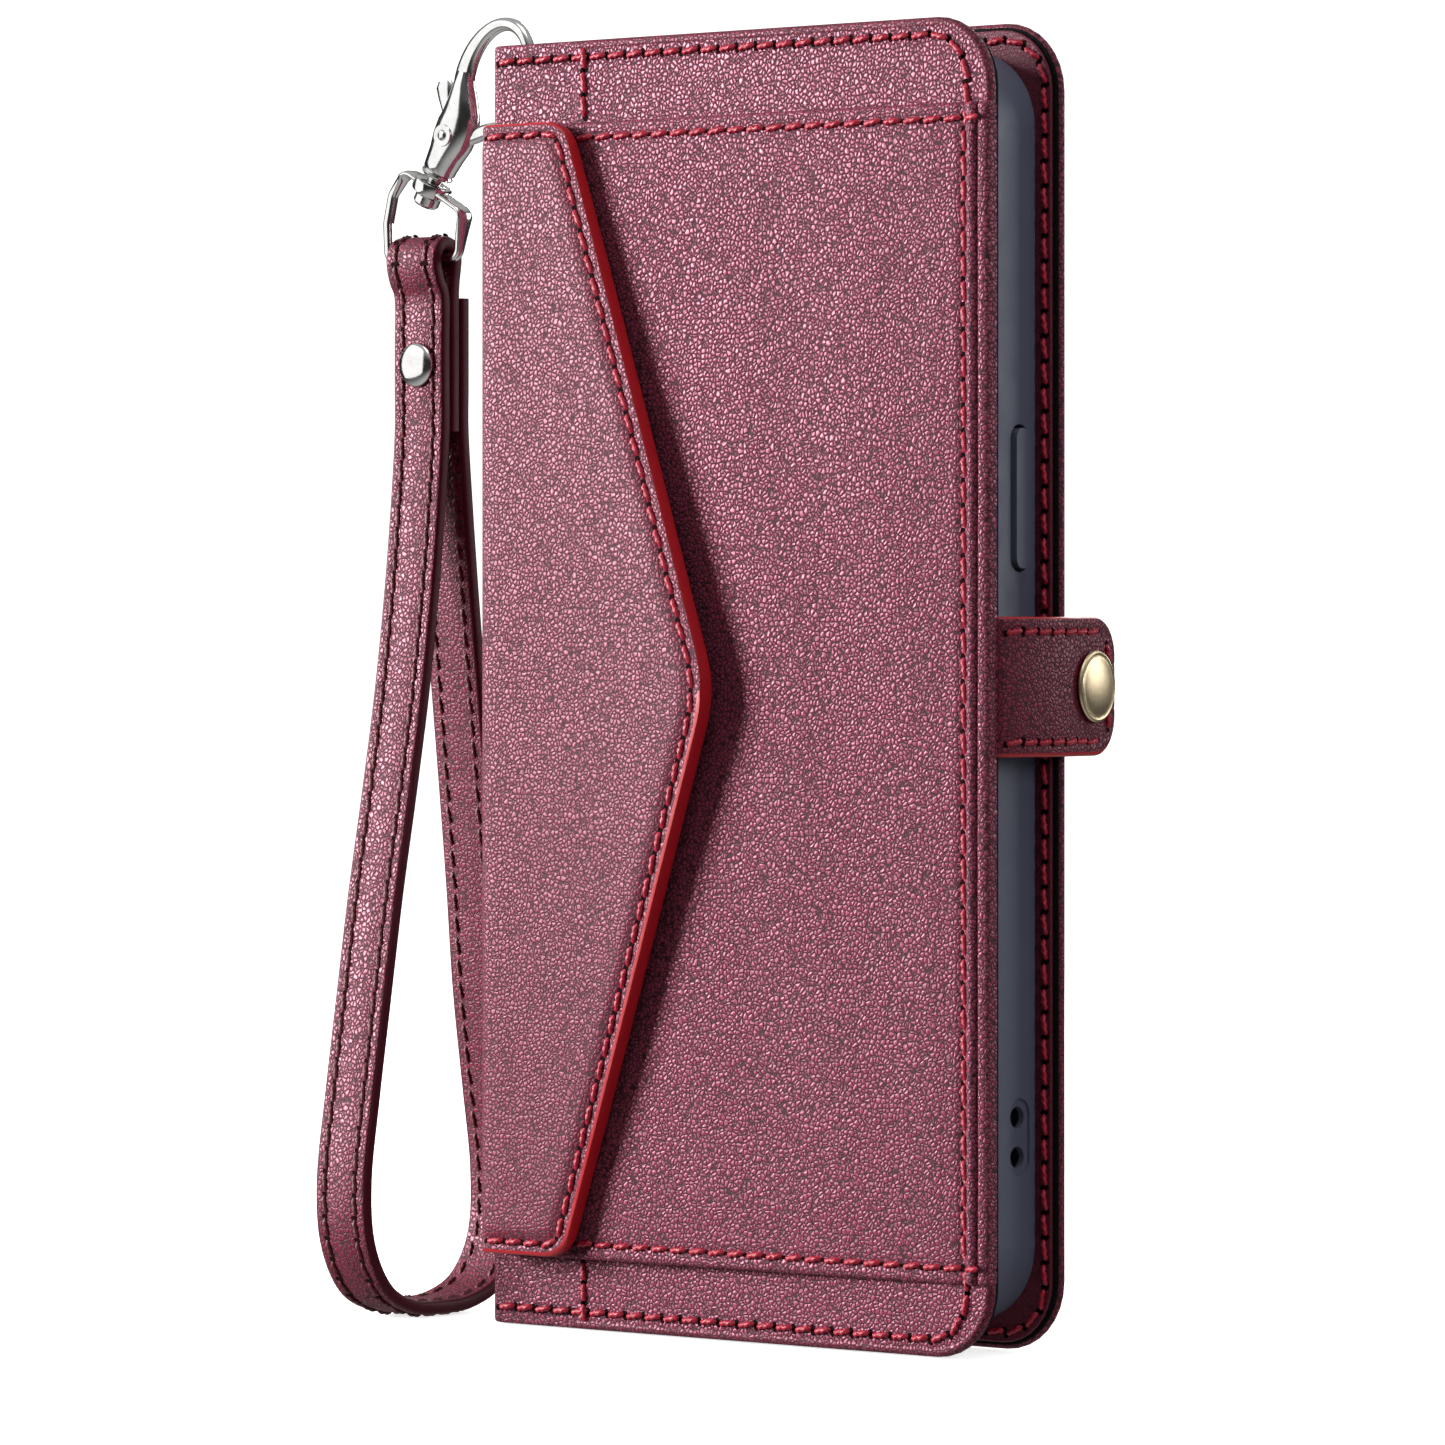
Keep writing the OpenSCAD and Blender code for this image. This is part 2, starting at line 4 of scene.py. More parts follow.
import bpy
import numpy as np
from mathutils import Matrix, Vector


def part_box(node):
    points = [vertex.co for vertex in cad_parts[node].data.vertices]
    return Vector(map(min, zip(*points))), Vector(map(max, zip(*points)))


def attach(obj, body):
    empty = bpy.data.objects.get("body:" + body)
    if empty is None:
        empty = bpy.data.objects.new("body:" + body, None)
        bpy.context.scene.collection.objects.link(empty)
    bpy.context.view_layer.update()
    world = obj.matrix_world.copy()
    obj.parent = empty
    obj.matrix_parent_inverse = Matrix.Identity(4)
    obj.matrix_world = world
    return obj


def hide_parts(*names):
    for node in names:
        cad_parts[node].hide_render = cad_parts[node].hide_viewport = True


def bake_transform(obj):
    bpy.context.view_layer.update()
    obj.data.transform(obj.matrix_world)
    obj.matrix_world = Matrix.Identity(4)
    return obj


# Positions and sizes are in millimetres in the case's own frame: X from the spine's outer face,
# Y from the front cover's outer plane, Z up from the base. row() turns them into the row frame.

COVER_W, COVER_H, CASE_T = 85.0, 170.0, 15.4
MID_Z = COVER_H / 2
UP = Vector((0, 0, 1))
RIGHT = Vector((1, 0, 0))

random.seed(11)
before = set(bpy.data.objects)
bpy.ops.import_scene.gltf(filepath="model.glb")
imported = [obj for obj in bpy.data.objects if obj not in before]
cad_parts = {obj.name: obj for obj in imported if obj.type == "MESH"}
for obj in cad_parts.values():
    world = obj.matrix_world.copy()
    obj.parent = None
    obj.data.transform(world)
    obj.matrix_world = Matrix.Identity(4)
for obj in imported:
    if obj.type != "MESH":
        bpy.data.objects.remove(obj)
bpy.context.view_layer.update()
CASE_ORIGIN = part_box("back_leather")[1] - Vector((COVER_W, CASE_T, COVER_H)) / 1000


def row(p):
    return CASE_ORIGIN + Vector(p) / 1000


# ---------------------------------------------------------------- camera

VIEW_AZIMUTH = math.radians(40.1)
VIEW_DISTANCE = 950.0
VIEW_SIDE = 33.97
VIEW_HEIGHT = 92.4

across_view = Vector((math.cos(VIEW_AZIMUTH), math.sin(VIEW_AZIMUTH), 0))
into_view = Vector((-math.sin(VIEW_AZIMUTH), math.cos(VIEW_AZIMUTH), 0))
camera_data = bpy.data.cameras.new("camera")
camera = bpy.data.objects.new("camera", camera_data)
bpy.context.scene.collection.objects.link(camera)
camera.location = row(
    Vector((COVER_W, 0, VIEW_HEIGHT)) - VIEW_SIDE * across_view - VIEW_DISTANCE * into_view
)
camera.rotation_euler = (math.radians(90), 0, VIEW_AZIMUTH)
camera_data.sensor_width = 36
camera_data.lens = 187.8
camera_data.shift_y = -0.065
camera_data.clip_end = 20
bpy.context.scene.camera = camera


# ---------------------------------------------------------------- materials


class Graph:
    """A material's node tree, built one node at a time."""

    def __init__(self, name):
        self.material = bpy.data.materials.new(name)
        self.material.use_nodes = True
        self.tree = self.material.node_tree
        self.shader = self.tree.nodes["Principled BSDF"]

    def add(self, kind, **settings):
        node = self.tree.nodes.new(kind)
        for key, value in settings.items():
            setattr(node, key, value)
        return node

    def link(self, a, b):
        self.tree.links.new(a, b)

    def coords(self):
        return self.add("ShaderNodeTexCoord").outputs["Object"]

    def noise(self, where, scale, detail=3.0, roughness=0.5):
        node = self.add("ShaderNodeTexNoise")
        node.inputs["Scale"].default_value = scale
        node.inputs["Detail"].default_value = detail
        node.inputs["Roughness"].default_value = roughness
        self.link(where, node.inputs["Vector"])
        return node

    def remap(self, value, low, high, out_low, out_high):
        node = self.add("ShaderNodeMapRange")
        for key, number in zip(
            ("From Min", "From Max", "To Min", "To Max"), (low, high, out_low, out_high)
        ):
            node.inputs[key].default_value = number
        self.link(value, node.inputs["Value"])
        return node.outputs["Result"]

    def mix(self, factor, a, b):
        node = self.add("ShaderNodeMix", data_type="RGBA")
        for key, value in ((6, a), (7, b)):
            if isinstance(value, tuple):
                node.inputs[key].default_value = (*value, 1)
            else:
                self.link(value, node.inputs[key])
        self.link(factor, node.inputs[0])
        return node.outputs[2]

    def bump(self, height, distance, strength=1.0, under=None):
        node = self.add("ShaderNodeBump")
        node.inputs["Distance"].default_value = distance
        node.inputs["Strength"].default_value = strength
        self.link(height, node.inputs["Height"])
        if under is not None:
            self.link(under, node.inputs["Normal"])
        return node.outputs["Normal"]

    def finish(self, color, roughness, normal=None, **constants):
        for key, value in (("Base Color", color), ("Roughness", roughness), ("Normal", normal)):
            if value is None:
                continue
            if isinstance(value, tuple):
                self.shader.inputs[key].default_value = (*value, 1)
            elif isinstance(value, float):
                self.shader.inputs[key].default_value = value
            else:
                self.link(value, self.shader.inputs[key])
        for key, value in constants.items():
            self.shader.inputs[key.replace("_", " ")].default_value = value
        flat_color = color if isinstance(color, tuple) else (0.4, 0.2, 0.2)
        self.material.diffuse_color = (*flat_color, 1)
        return self.material


def leather(name, light, crease_shade, grain=1600.0, depth=0.00006, rough=(0.36, 0.75)):
    """Pebbled leather: glossy domed pebbles with painted shade in the narrow creases, over slow
    waves.
    """
    g = Graph(name)
    where = g.coords()
    wobble = g.noise(where, grain * 0.6, 1.0)
    centred = g.add("ShaderNodeVectorMath", operation="SUBTRACT")
    centred.inputs[1].default_value = (0.5, 0.5, 0.5)
    g.link(wobble.outputs["Color"], centred.inputs[0])
    shift = g.add("ShaderNodeVectorMath", operation="SCALE")
    shift.inputs["Scale"].default_value = 0.7 / grain
    g.link(centred.outputs["Vector"], shift.inputs[0])
    moved = g.add("ShaderNodeVectorMath", operation="ADD")
    g.link(where, moved.inputs[0])
    g.link(shift.outputs["Vector"], moved.inputs[1])
    cells = g.add("ShaderNodeTexVoronoi", feature="DISTANCE_TO_EDGE")
    cells.inputs["Scale"].default_value = grain
    g.link(moved.outputs["Vector"], cells.inputs["Vector"])
    fall = g.remap(cells.outputs["Distance"], 0.0, 0.4, 1.0, 0.0)
    square = g.add("ShaderNodeMath", operation="POWER")
    square.inputs[1].default_value = 2.0
    g.link(fall, square.inputs[0])
    pebble = g.remap(square.outputs[0], 0.0, 1.0, 1.0, 0.0)
    waves = g.noise(where, 55.0, 2.0)
    mottle = g.noise(where, 260.0, 4.0, 0.6)
    tilt = g.noise(where, grain * 0.5, 2.0)
    normal = g.bump(waves.outputs["Fac"], 0.0007, 0.35)
    normal = g.bump(tilt.outputs["Fac"], 0.2 * depth, 0.9, normal)
    normal = g.bump(pebble, depth, 1.0, normal)
    tone = g.mix(g.remap(mottle.outputs["Fac"], 0.3, 0.7, 0.0, 1.0), light,
                 tuple(0.84 * v for v in light))
    # Painted shade: the colour falls to crease_shade in the narrow creases between the pebbles.
    color = g.mix(g.remap(cells.outputs["Distance"], 0.04, 0.17, 0.0, 1.0), crease_shade, tone)
    roughness = g.remap(pebble, 0.2, 1.0, rough[1], rough[0])
    return g.finish(color, roughness, normal, Specular_IOR_Level=0.62,
                    Specular_Tint=(1.0, 0.6, 0.73, 1))


def plain(name, color, rough, grain, depth, metal=0.0, spread=0.06, **constants):
    """Fine even grain in colour, gloss and relief: soft plastic, paint, felt and metal."""
    g = Graph(name)
    where = g.coords()
    fine = g.noise(where, grain, 4.0, 0.6)
    slow = g.noise(where, grain * 0.06, 2.0)
    shade = g.mix(g.remap(fine.outputs["Fac"], 0.3, 0.7, 0.0, 1.0),
                  tuple(0.85 * v for v in color), color)
    roughness = g.remap(slow.outputs["Fac"], 0.3, 0.7, rough - spread, rough + spread)
    normal = g.bump(fine.outputs["Fac"], depth, 0.8)
    return g.finish(shade, roughness, normal, Metallic=metal, **constants)


# The second colour of each leather is the painted shade in its creases.
LEATHER = leather("burgundy_leather", (0.175, 0.009, 0.03), (0.022, 0.001, 0.004))
# Painted sheen: the same burgundy leather, made paler and brighter for the spine wrap, cover panels
# and pouch front to stand in for the sheen and light on them.
SHEEN_LEATHER = leather("burgundy_leather_painted_sheen", (0.25, 0.036, 0.074), (0.02, 0.0015, 0.004), 1600.0,
                       0.00009, (0.28, 0.76))
LINING = leather("burgundy_lining", (0.13, 0.01, 0.025), (0.05, 0.004, 0.01), 2300.0, 0.00004,
                 (0.48, 0.62))
EDGE = plain("red_edge_paint", (0.42, 0.008, 0.014), 0.34, 900.0, 0.00003)
DARK_EDGE = plain("burgundy_edge_paint", (0.06, 0.004, 0.011), 0.5, 900.0, 0.00003,
                  Specular_IOR_Level=0.3, Specular_Tint=(1.0, 0.6, 0.72, 1))
THREAD = plain("crimson_thread", (0.38, 0.002, 0.025), 0.4, 9000.0, 0.00006)
DARK_THREAD = plain("maroon_thread", (0.1, 0.003, 0.01), 0.5, 9000.0, 0.00006)
# Painted shade: near-black discs that stand for the shade inside the needle holes.
HOLE_SHADE = plain("needle_hole_shade", (0.012, 0.002, 0.003), 0.9, 3000.0, 0.00003, Specular_IOR_Level=0.05)
FELT = plain("black_felt", (0.007, 0.007, 0.008), 0.95, 3800.0, 0.0004, Specular_IOR_Level=0.1)
SHELL = plain("soft_plastic", (0.1, 0.11, 0.16), 0.46, 5200.0, 0.000015, Specular_IOR_Level=0.4)
NICKEL = plain("polished_nickel", (0.74, 0.735, 0.725), 0.14, 700.0, 0.000006, metal=1.0,
               spread=0.04)
BRASS = plain("champagne_brass", (0.66, 0.54, 0.35), 0.36, 1500.0, 0.00001, metal=1.0, spread=0.05)
METALS = {"nickel": NICKEL, "snap_brass": BRASS}


# ---------------------------------------------------------------- mesh builders


def make(name, verts, faces, mats, face_mats=None, angle=38):
    """A mesh from points in case millimetres."""
    mesh = bpy.data.meshes.new(name)
    mesh.from_pydata([row(v) for v in verts], [], faces)
    for material in mats:
        mesh.materials.append(material)
    if face_mats:
        mesh.polygons.foreach_set("material_index", face_mats)
    mesh.update()
    mesh.shade_smooth()
    mesh.set_sharp_from_angle(angle=math.radians(angle))
    obj = bpy.data.objects.new(name, mesh)
    bpy.context.scene.collection.objects.link(obj)
    return obj


def place(obj, body=None, replaces=(), blend=None):
    """Hide the CAD parts a piece replaces, then hang it on its body, or, for a piece that bends
    (blend), bake its placement into its mesh.
    """
    if replaces:
        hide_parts(*replaces)
    if blend:
        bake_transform(obj)
    else:
        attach(obj, body)
    return obj


def fillet(a, b, c, r, steps=8):
    """Points of the arc that rounds corner b of the path a-b-c, in two dimensions."""
    a, b, c = Vector(a), Vector(b), Vector(c)
    u, v = (a - b).normalized(), (c - b).normalized()
    half = math.acos(max(-1, min(1, u.dot(v)))) / 2
    centre = b + (u + v).normalized() * (r / math.sin(half))
    start = b + u * (r / math.tan(half)) - centre
    end = b + v * (r / math.tan(half)) - centre
    a0 = math.atan2(start.y, start.x)
    turn = (math.atan2(end.y, end.x) - a0 + math.pi) % (2 * math.pi) - math.pi
    return [
        centre + r * Vector((math.cos(a0 + turn * i / steps), math.sin(a0 + turn * i / steps)))
        for i in range(steps + 1)
    ]


def rounded_rect(x0, z0, x1, z1, radii, steps=8):
    """Closed path round a rectangle, counter-clockwise from its low left corner."""
    corners = [(x0, z0), (x1, z0), (x1, z1), (x0, z1)]
    out = []
    for i, r in enumerate(radii):
        if r <= 0:
            out.append(Vector(corners[i]))
        else:
            out += fillet(corners[i - 1], corners[i], corners[(i + 1) % 4], r, steps)
    return out


def slab(name, loops, y0, y1, material, r=0.25):
    """Flat sheet in the X-Z plane between two depths, with rounded edges.

    The first loop is its outline and the others are holes, each counter-clockwise."""
    curve = bpy.data.curves.new(name, "CURVE")
    curve.dimensions = "2D"
    curve.fill_mode = "BOTH"
    curve.extrude = (y1 - y0) / 2 - r
    curve.bevel_depth = r
    curve.bevel_resolution = 2
    curve.offset = -r
    for i, loop in enumerate(loops):
        points = loop if i == 0 else loop[::-1]
        spline = curve.splines.new("POLY")
        spline.points.add(len(points) - 1)
        for p, q in zip(spline.points, points):
            p.co = (q[0], q[1], 0, 1)
        spline.use_cyclic_u = True
    shape = bpy.data.objects.new(name, curve)
    bpy.context.scene.collection.objects.link(shape)
    flat = bpy.data.meshes.new_from_object(
        shape.evaluated_get(bpy.context.evaluated_depsgraph_get())
    )
    mid = (y0 + y1) / 2
    verts = [Vector((v.co.x, mid - v.co.z, v.co.y)) for v in flat.vertices]
    faces = [tuple(p.vertices) for p in flat.polygons]
    bpy.data.objects.remove(shape)
    bpy.data.curves.remove(curve)
    bpy.data.meshes.remove(flat)
    obj = make(name, verts, faces, [material], angle=50)
    for p in obj.data.polygons:
        p.use_smooth = abs(p.normal.y) < 0.999
    return obj


def section(lo, hi, thick, r, groove):
    """Closed rounded section of a band: (across, out, part), part 0 outer, 1 inner, 2 edge."""
    width = hi - lo
    r = min(r, thick / 2 - 1e-3, width / 2 - 1e-3)
    h = thick / 2
    inset, depth, half = groove
    need = 2 * (inset + half) + 0.6
    k = min(1.0, width / need)
    steps = [r / k if k else r, inset - half, inset, inset + half]
    heights = [h, h, h - depth * k, h]
    outer = [(lo + s * k, y) for s, y in zip(steps, heights)]
    outer = [(max(p[0], lo + r), p[1]) for p in outer]
    outer += [(hi - (p[0] - lo), p[1]) for p in outer[::-1]]
    ring = [(x, y, 0) for x, y in outer]
    quarter = [math.radians(a) for a in (0, 30, 60, 90)]
    for a in quarter[1:]:
        ring.append((hi - r + r * math.sin(a), h - r + r * math.cos(a), 2))
    for a in quarter[::-1][:-1]:
        ring.append((hi - r + r * math.sin(a), -h + r - r * math.cos(a), 2))
    ring.append((hi - r, -h, 1))
    ring.append((lo + r, -h, 2))
    for a in quarter[1:]:
        ring.append((lo + r - r * math.sin(a), -h + r - r * math.cos(a), 2))
    for a in quarter[::-1][:-1]:
        ring.append((lo + r - r * math.sin(a), h - r + r * math.cos(a), 2))
    return ring


def frames(points, across):
    """Unit normals of a path that lies square to across."""
    out = []
    for i in range(len(points)):
        t = points[min(i + 1, len(points) - 1)] - points[max(i - 1, 0)]
        out.append(t.normalized().cross(across).normalized())
    return out


def ribbon(name, points, across, thick, span, mats, r=0.3, groove=(2.2, 0.0, 0.5), rings=None):
    """Band along a path, as wide as span(i) says, or with the whole cross-section from rings(i).

    mats are for the outer face, the inner face and the edges."""
    points = [Vector(p) for p in points]
    normals = frames(points, across)
    verts, faces, marks = [], [], []
    size = 0
    for i, (p, n) in enumerate(zip(points, normals)):
        ring = rings(i) if rings else section(*span(i), thick, r, groove)
        size = len(ring)
        verts += [p + across * a + n * b for a, b, _ in ring]
        if i:
            base, last = i * size, (i - 1) * size
            for j in range(size):
                k = (j + 1) % size
                faces.append((last + j, base + j, base + k, last + k))
                marks.append(ring[j][2])
    faces.append(tuple(range(size)))
    faces.append(tuple(range(len(verts) - 1, len(verts) - size - 1, -1)))
    marks += [2, 2]
    return make(name, verts, faces, mats, marks)


def catmull(points, steps):
    """Smooth path through the points."""
    points = [Vector(p) for p in points]
    out = []
    n = len(points) - 1
    for i in range(n):
        p0, p1, p2, p3 = points[max(i - 1, 0)], points[i], points[i + 1], points[min(i + 2, n)]
        for s in range(steps):
            t = s / steps
            out.append(
                0.5 * (2 * p1 + (p2 - p0) * t + (2 * p0 - 5 * p1 + 4 * p2 - p3) * t * t
                       + (3 * p1 - p0 - 3 * p2 + p3) * t * t * t)
            )
    return out + [points[-1]]


def along(points, normals, distance):
    """Point, direction and normal at a distance along a path."""
    left = distance
    for i in range(len(points) - 1):
        step = points[i + 1] - points[i]
        if left <= step.length or i == len(points) - 2:
            t = left / step.length
            n = normals[i].lerp(normals[i + 1], t).normalized()
            return points[i] + step * t, step.normalized(), n
        left -= step.length


def path_length(points):
    return sum((b - a).length for a, b in zip(points, points[1:]))


def stitches(name, path, normals, body, pitch=3.2, thread=0.32, blend=None, color=None):
    """Saddle stitches: each is a twisted bead that dives into a needle hole at both ends, drawn as
    a disc painted with the hole's shade.
    """
    points = [Vector(p) for p in path]
    if isinstance(normals, tuple):
        normals = [Vector(normals)] * len(points)
    total = path_length(points)
    count = max(1, round(total / pitch))
    gap = total / count
    rings, sides = 13, 10
    verts, faces, marks = [], [], []
    for i in range(count):
        p, t, n = along(points, normals, (i + 0.5) * gap)
        side = n.cross(t).normalized()
        t = (t + side * random.uniform(0.1, 0.2)).normalized()
        side = n.cross(t).normalized()
        half = gap * 0.45
        start = len(verts)
        for j in range(rings):
            u = -1 + 2 * j / (rings - 1)
            fat = thread * (1 - 0.75 * abs(u) ** 5)
            centre = p + t * (u * half) + n * (thread * (0.55 - 0.95 * abs(u) ** 4))
            for k in range(sides):
                a = 2 * math.pi * k / sides
                bulge = fat * (1 + 0.3 * math.cos(2 * a + 9 * u))
                verts.append(centre + side * (bulge * 1.12 * math.cos(a))
                             + n * (bulge * math.sin(a)))
        for j in range(rings - 1):
            for k in range(sides):
                a, b = start + j * sides + k, start + j * sides + (k + 1) % sides
                faces.append((a, b, b + sides, a + sides))
                marks.append(0)
        # Painted shade: a flat dark disc at each end for the shade of its needle hole.
        for u in (-1.08, 1.08):
            start = len(verts)
            for k in range(sides):
                a = 2 * math.pi * k / sides
                verts.append(p + t * (u * half + 0.4 * math.cos(a)) + side * (0.46 * math.sin(a))
                             + n * 0.03)
            faces.append(tuple(range(start, start + sides)))
            marks.append(1)
    obj = make(name, verts, faces, [color or THREAD, HOLE_SHADE], marks, angle=80)
    return place(obj, body, blend=blend)


def axes_for(axis):
    axis = Vector(axis).normalized()
    u = axis.cross(UP if abs(axis.z) < 0.9 else RIGHT).normalized()
    return axis, u, axis.cross(u)


def lathe(name, profile, origin, axis, mats, steps=64, angle=32):
    """Turned shape: profile is (radius, height) along axis from origin."""
    axis, u, v = axes_for(axis)
    origin = Vector(origin)
    verts, faces = [], []
    for r, h in profile:
        for k in range(steps):
            a = 2 * math.pi * k / steps
            verts.append(origin + axis * h + u * (r * math.cos(a)) + v * (r * math.sin(a)))
    for j in range(len(profile) - 1):
        for k in range(steps):
            a, b = j * steps + k, j * steps + (k + 1) % steps
            faces.append((a, a + steps, b + steps, b))
    if profile[0][0] > 0 and profile[0] != profile[-1]:
        faces.append(tuple(range(steps)))
        end = (len(profile) - 1) * steps
        faces.append(tuple(range(end + steps - 1, end - 1, -1)))
    return make(name, verts, faces, mats, angle=angle)


def loft(name, sections, mats, power=2.6, sides=24, closed=False, angle=40):
    """Smooth solid through sections: (centre, half-size sideways, half-size along Y)."""
    depth = Vector((0, 1, 0))
    points = [Vector(s[0]) for s in sections]
    verts, faces = [], []
    n = len(points)
    for i, (_, w, d) in enumerate(sections):
        a = points[(i - 1) % n] if closed else points[max(i - 1, 0)]
        b = points[(i + 1) % n] if closed else points[min(i + 1, n - 1)]
        side = (b - a).normalized().cross(depth).normalized()
        for k in range(sides):
            t = 2 * math.pi * k / sides
            c, s = math.cos(t), math.sin(t)
            verts.append(points[i] + side * (w * math.copysign(abs(c) ** (2 / power), c))
                         + depth * (d * math.copysign(abs(s) ** (2 / power), s)))
    for i in range(n if closed else n - 1):
        for k in range(sides):
            a, b = i * sides + k, i * sides + (k + 1) % sides
            c, d = (a + sides) % (n * sides), (b + sides) % (n * sides)
            faces.append((a, b, d, c))
    if not closed:
        faces.append(tuple(range(sides - 1, -1, -1)))
        faces.append(tuple(range((n - 1) * sides, n * sides)))
    return make(name, verts, faces, mats, angle=angle)


def turned(name, profile, at, axis, body, nodes=(), metal="nickel", angle=32):
    """A turned metal piece, placed on its body."""
    obj = lathe(name, profile, at, axis, [METALS[metal]], angle=angle)
    place(obj, body, nodes)


def cast(name, sections, body, nodes=(), **shape):
    """A cast metal piece, placed on its body."""
    place(loft(name, sections, [METALS["nickel"]], **shape), body, nodes)


def soften(node, width, material):
    """Round a hard CAD piece's edges a little and give it its material."""
    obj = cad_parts[node]
    obj.data.materials.clear()
    obj.data.materials.append(material)
    bevel = obj.modifiers.new("edges", "BEVEL")
    bevel.width = width / 1000
    bevel.segments = 3
    bevel.limit_method = "ANGLE"
    bevel.angle_limit = math.radians(50)
    bevel.harden_normals = False
    obj.data.shade_smooth()
    obj.data.set_sharp_from_angle(angle=math.radians(30))


# ---------------------------------------------------------------- covers and spine

FRONT = (0, -1, 0)
BACK = (0, 1, 0)
BOARD_T = 1.2
LEATHER_T = 0.8
FOLD_R = 1.7
PANEL_X = 15.2
MID_Y = CASE_T / 2
SHELL_BACK = 13.6
CAMERA = (40.4, 123.0, 76.9, 161.0)
CAMERA_R = 9
TAB_H = 17.8


def even(low, high):
    """Span of a band that is equally wide all along."""
    return lambda i: (low, high)


def fold_path(x_end, side, off):
    """From the cover round the spine's corner to its middle, at depth off inside the outer face."""
    r = FOLD_R - off
    y = off if side < 0 else CASE_T - off
    turn = 1 if side < 0 else -1
    points = [Vector((x, y, 0)) for x in (x_end, x_end / 2 + 2, 3.0, 2.2)]
    for k in range(9):
        a = math.radians(90 * k / 8)
        points.append(Vector((FOLD_R - r * math.sin(a), y + turn * (r - r * math.cos(a)), 0)))
    points += [Vector((off, y + turn * (r + d), 0)) for d in (0.7, 1.6, 3.0)]
    points.append(Vector((off, MID_Y, 0)))
    return points


WRAP_T = 1.1
half_t = WRAP_T / 2
wrap = ribbon("spine_wrap_front", fold_path(16.5, -1, half_t)[::-1], UP, WRAP_T,
              even(0.0, COVER_H), [SHEEN_LEATHER, LINING, SHEEN_LEATHER], r=0.5)
place(wrap, replaces=["spine_leather"],
      blend=("front_cover", "spine", (2.4, 0.2, 0), (0.2, 2.4, 0)))
wrap = ribbon("spine_wrap_back", fold_path(16.5, 1, half_t), UP, WRAP_T,
              even(0.0, COVER_H), [SHEEN_LEATHER, LINING, SHEEN_LEATHER], r=0.5)
place(wrap,
      blend=("back_cover", "spine", (2.4, CASE_T - 0.2, 0), (0.2, CASE_T - 2.4, 0)))

panel_loop = rounded_rect(PANEL_X, 0.35, COVER_W - 0.5, COVER_H - 0.35, (0, 8.6, 8.6, 0))
front_panel = slab("front_panel", [panel_loop], -0.3, LEATHER_T, SHEEN_LEATHER, 0.42)
place(front_panel, "front_cover", ["front_leather"])


def roll(name, x0, inset, right, r, y, w, d, body):
    """Turned edge of a cover: a soft bead of leather along bottom, opening edge and top."""
    sections = [((p.x, y, p.z), w, d) for p in edge_run(x0, inset, right, r, y)]
    dense = [sections[0]]
    for a, b in zip(sections, sections[1:]):
        a_at, b_at = Vector(a[0]), Vector(b[0])
        n = max(1, int((b_at - a_at).length / 8))
        dense += [(a_at.lerp(b_at, k / n), w, d) for k in range(1, n + 1)]
    place(loft(name, dense, [LEATHER], power=2.2, sides=20), body)


def camera_hole(grow):
    """Outline of the camera cut-out, wider by grow all round."""
    x0, z0, x1, z1 = CAMERA
    return rounded_rect(x0 - grow, z0 - grow, x1 + grow, z1 + grow, (CAMERA_R + grow,) * 4)


def edge_run(x0, inset, right, r, y):
    """Line round a cover: along the bottom, up the opening edge and back along the top."""
    low, high = inset, COVER_H - inset
    loop = [Vector((x0, low))] + fillet((x0, low), (right, low), (right, high), r)
    loop += fillet((right, low), (right, high), (x0, high), r) + [Vector((x0, high))]
    return [Vector((p.x, y, p.y)) for p in loop]


roll("front_edge_roll", 15.6, 0.75, COVER_W - 0.75, 8.3, 0.45, 0.75, 0.85, "front_cover")
roll("back_edge_roll", 16.4, 0.7, COVER_W - 0.7, 8.4, CASE_T - 0.62, 0.7, 0.66, "back_cover")
back_loop = rounded_rect(16.2, 0.35, COVER_W - 0.4, COVER_H - 0.35, (0, 8.6, 8.6, 0))
hole = camera_hole(0.8)
back_panel = slab("back_panel", [back_loop, hole], CASE_T - LEATHER_T, CASE_T, SHEEN_LEATHER, 0.35)
place(back_panel, "back_cover", ["back_leather"])

board_loop = (
    [Vector((2.0, 0.5))]
    + fillet((2, 0.5), (84.6, 0.5), (84.6, 169.5), 8.5)
    + [Vector((84.6, MID_Z - TAB_H / 2)), Vector((76, MID_Z - TAB_H / 2)),
       Vector((76, MID_Z + TAB_H / 2)), Vector((84.6, MID_Z + TAB_H / 2))]
    + fillet((84.6, 0.5), (84.6, 169.5), (2, 169.5), 8.5)
    + [Vector((2.0, 169.5))]
)
place(slab("front_board_felt", [board_loop], LEATHER_T, LEATHER_T + BOARD_T, FELT, 0.3),
      "front_cover", ["front_board"])
hole = camera_hole(1.2)
place(slab("back_board_felt",
           [rounded_rect(2, 0.5, 84.7, 169.5, (0, 8.6, 8.6, 0)), hole],
           SHELL_BACK + 0.45, CASE_T - LEATHER_T, FELT, 0.2),
      "back_cover", ["back_board"])

LINING_Y = LEATHER_T + BOARD_T
place(slab("front_lining_sheet", [rounded_rect(6.0, 1, 83.5, 169, (0, 8, 8, 0))],
           LINING_Y, LINING_Y + 0.3, LINING, 0.13),
      "front_cover", ["front_lining"])
hole = camera_hole(0.6)
place(slab("back_lining_sheet",
           [rounded_rect(5.0, 0.9, 83.9, 169.1, (0, 8.0, 8.0, 0)), hole],
           SHELL_BACK, SHELL_BACK + 0.5, LINING, 0.2),
      "back_cover", ["back_lining"])


def inner_fold(x_end, y, spine_x, turn, r=1.2):
    corner = fillet((x_end, y), (spine_x, y), (spine_x, MID_Y), r, 8)
    path = [Vector((x_end, y, 0)), Vector((spine_x + r + 0.8, y, 0))]
    path += [Vector((c.x, c.y, 0)) for c in corner]
    return path + [Vector((spine_x, y + turn * (r + d), 0)) for d in (0.6, 1.4)] + [
        Vector((spine_x, MID_Y, 0))]


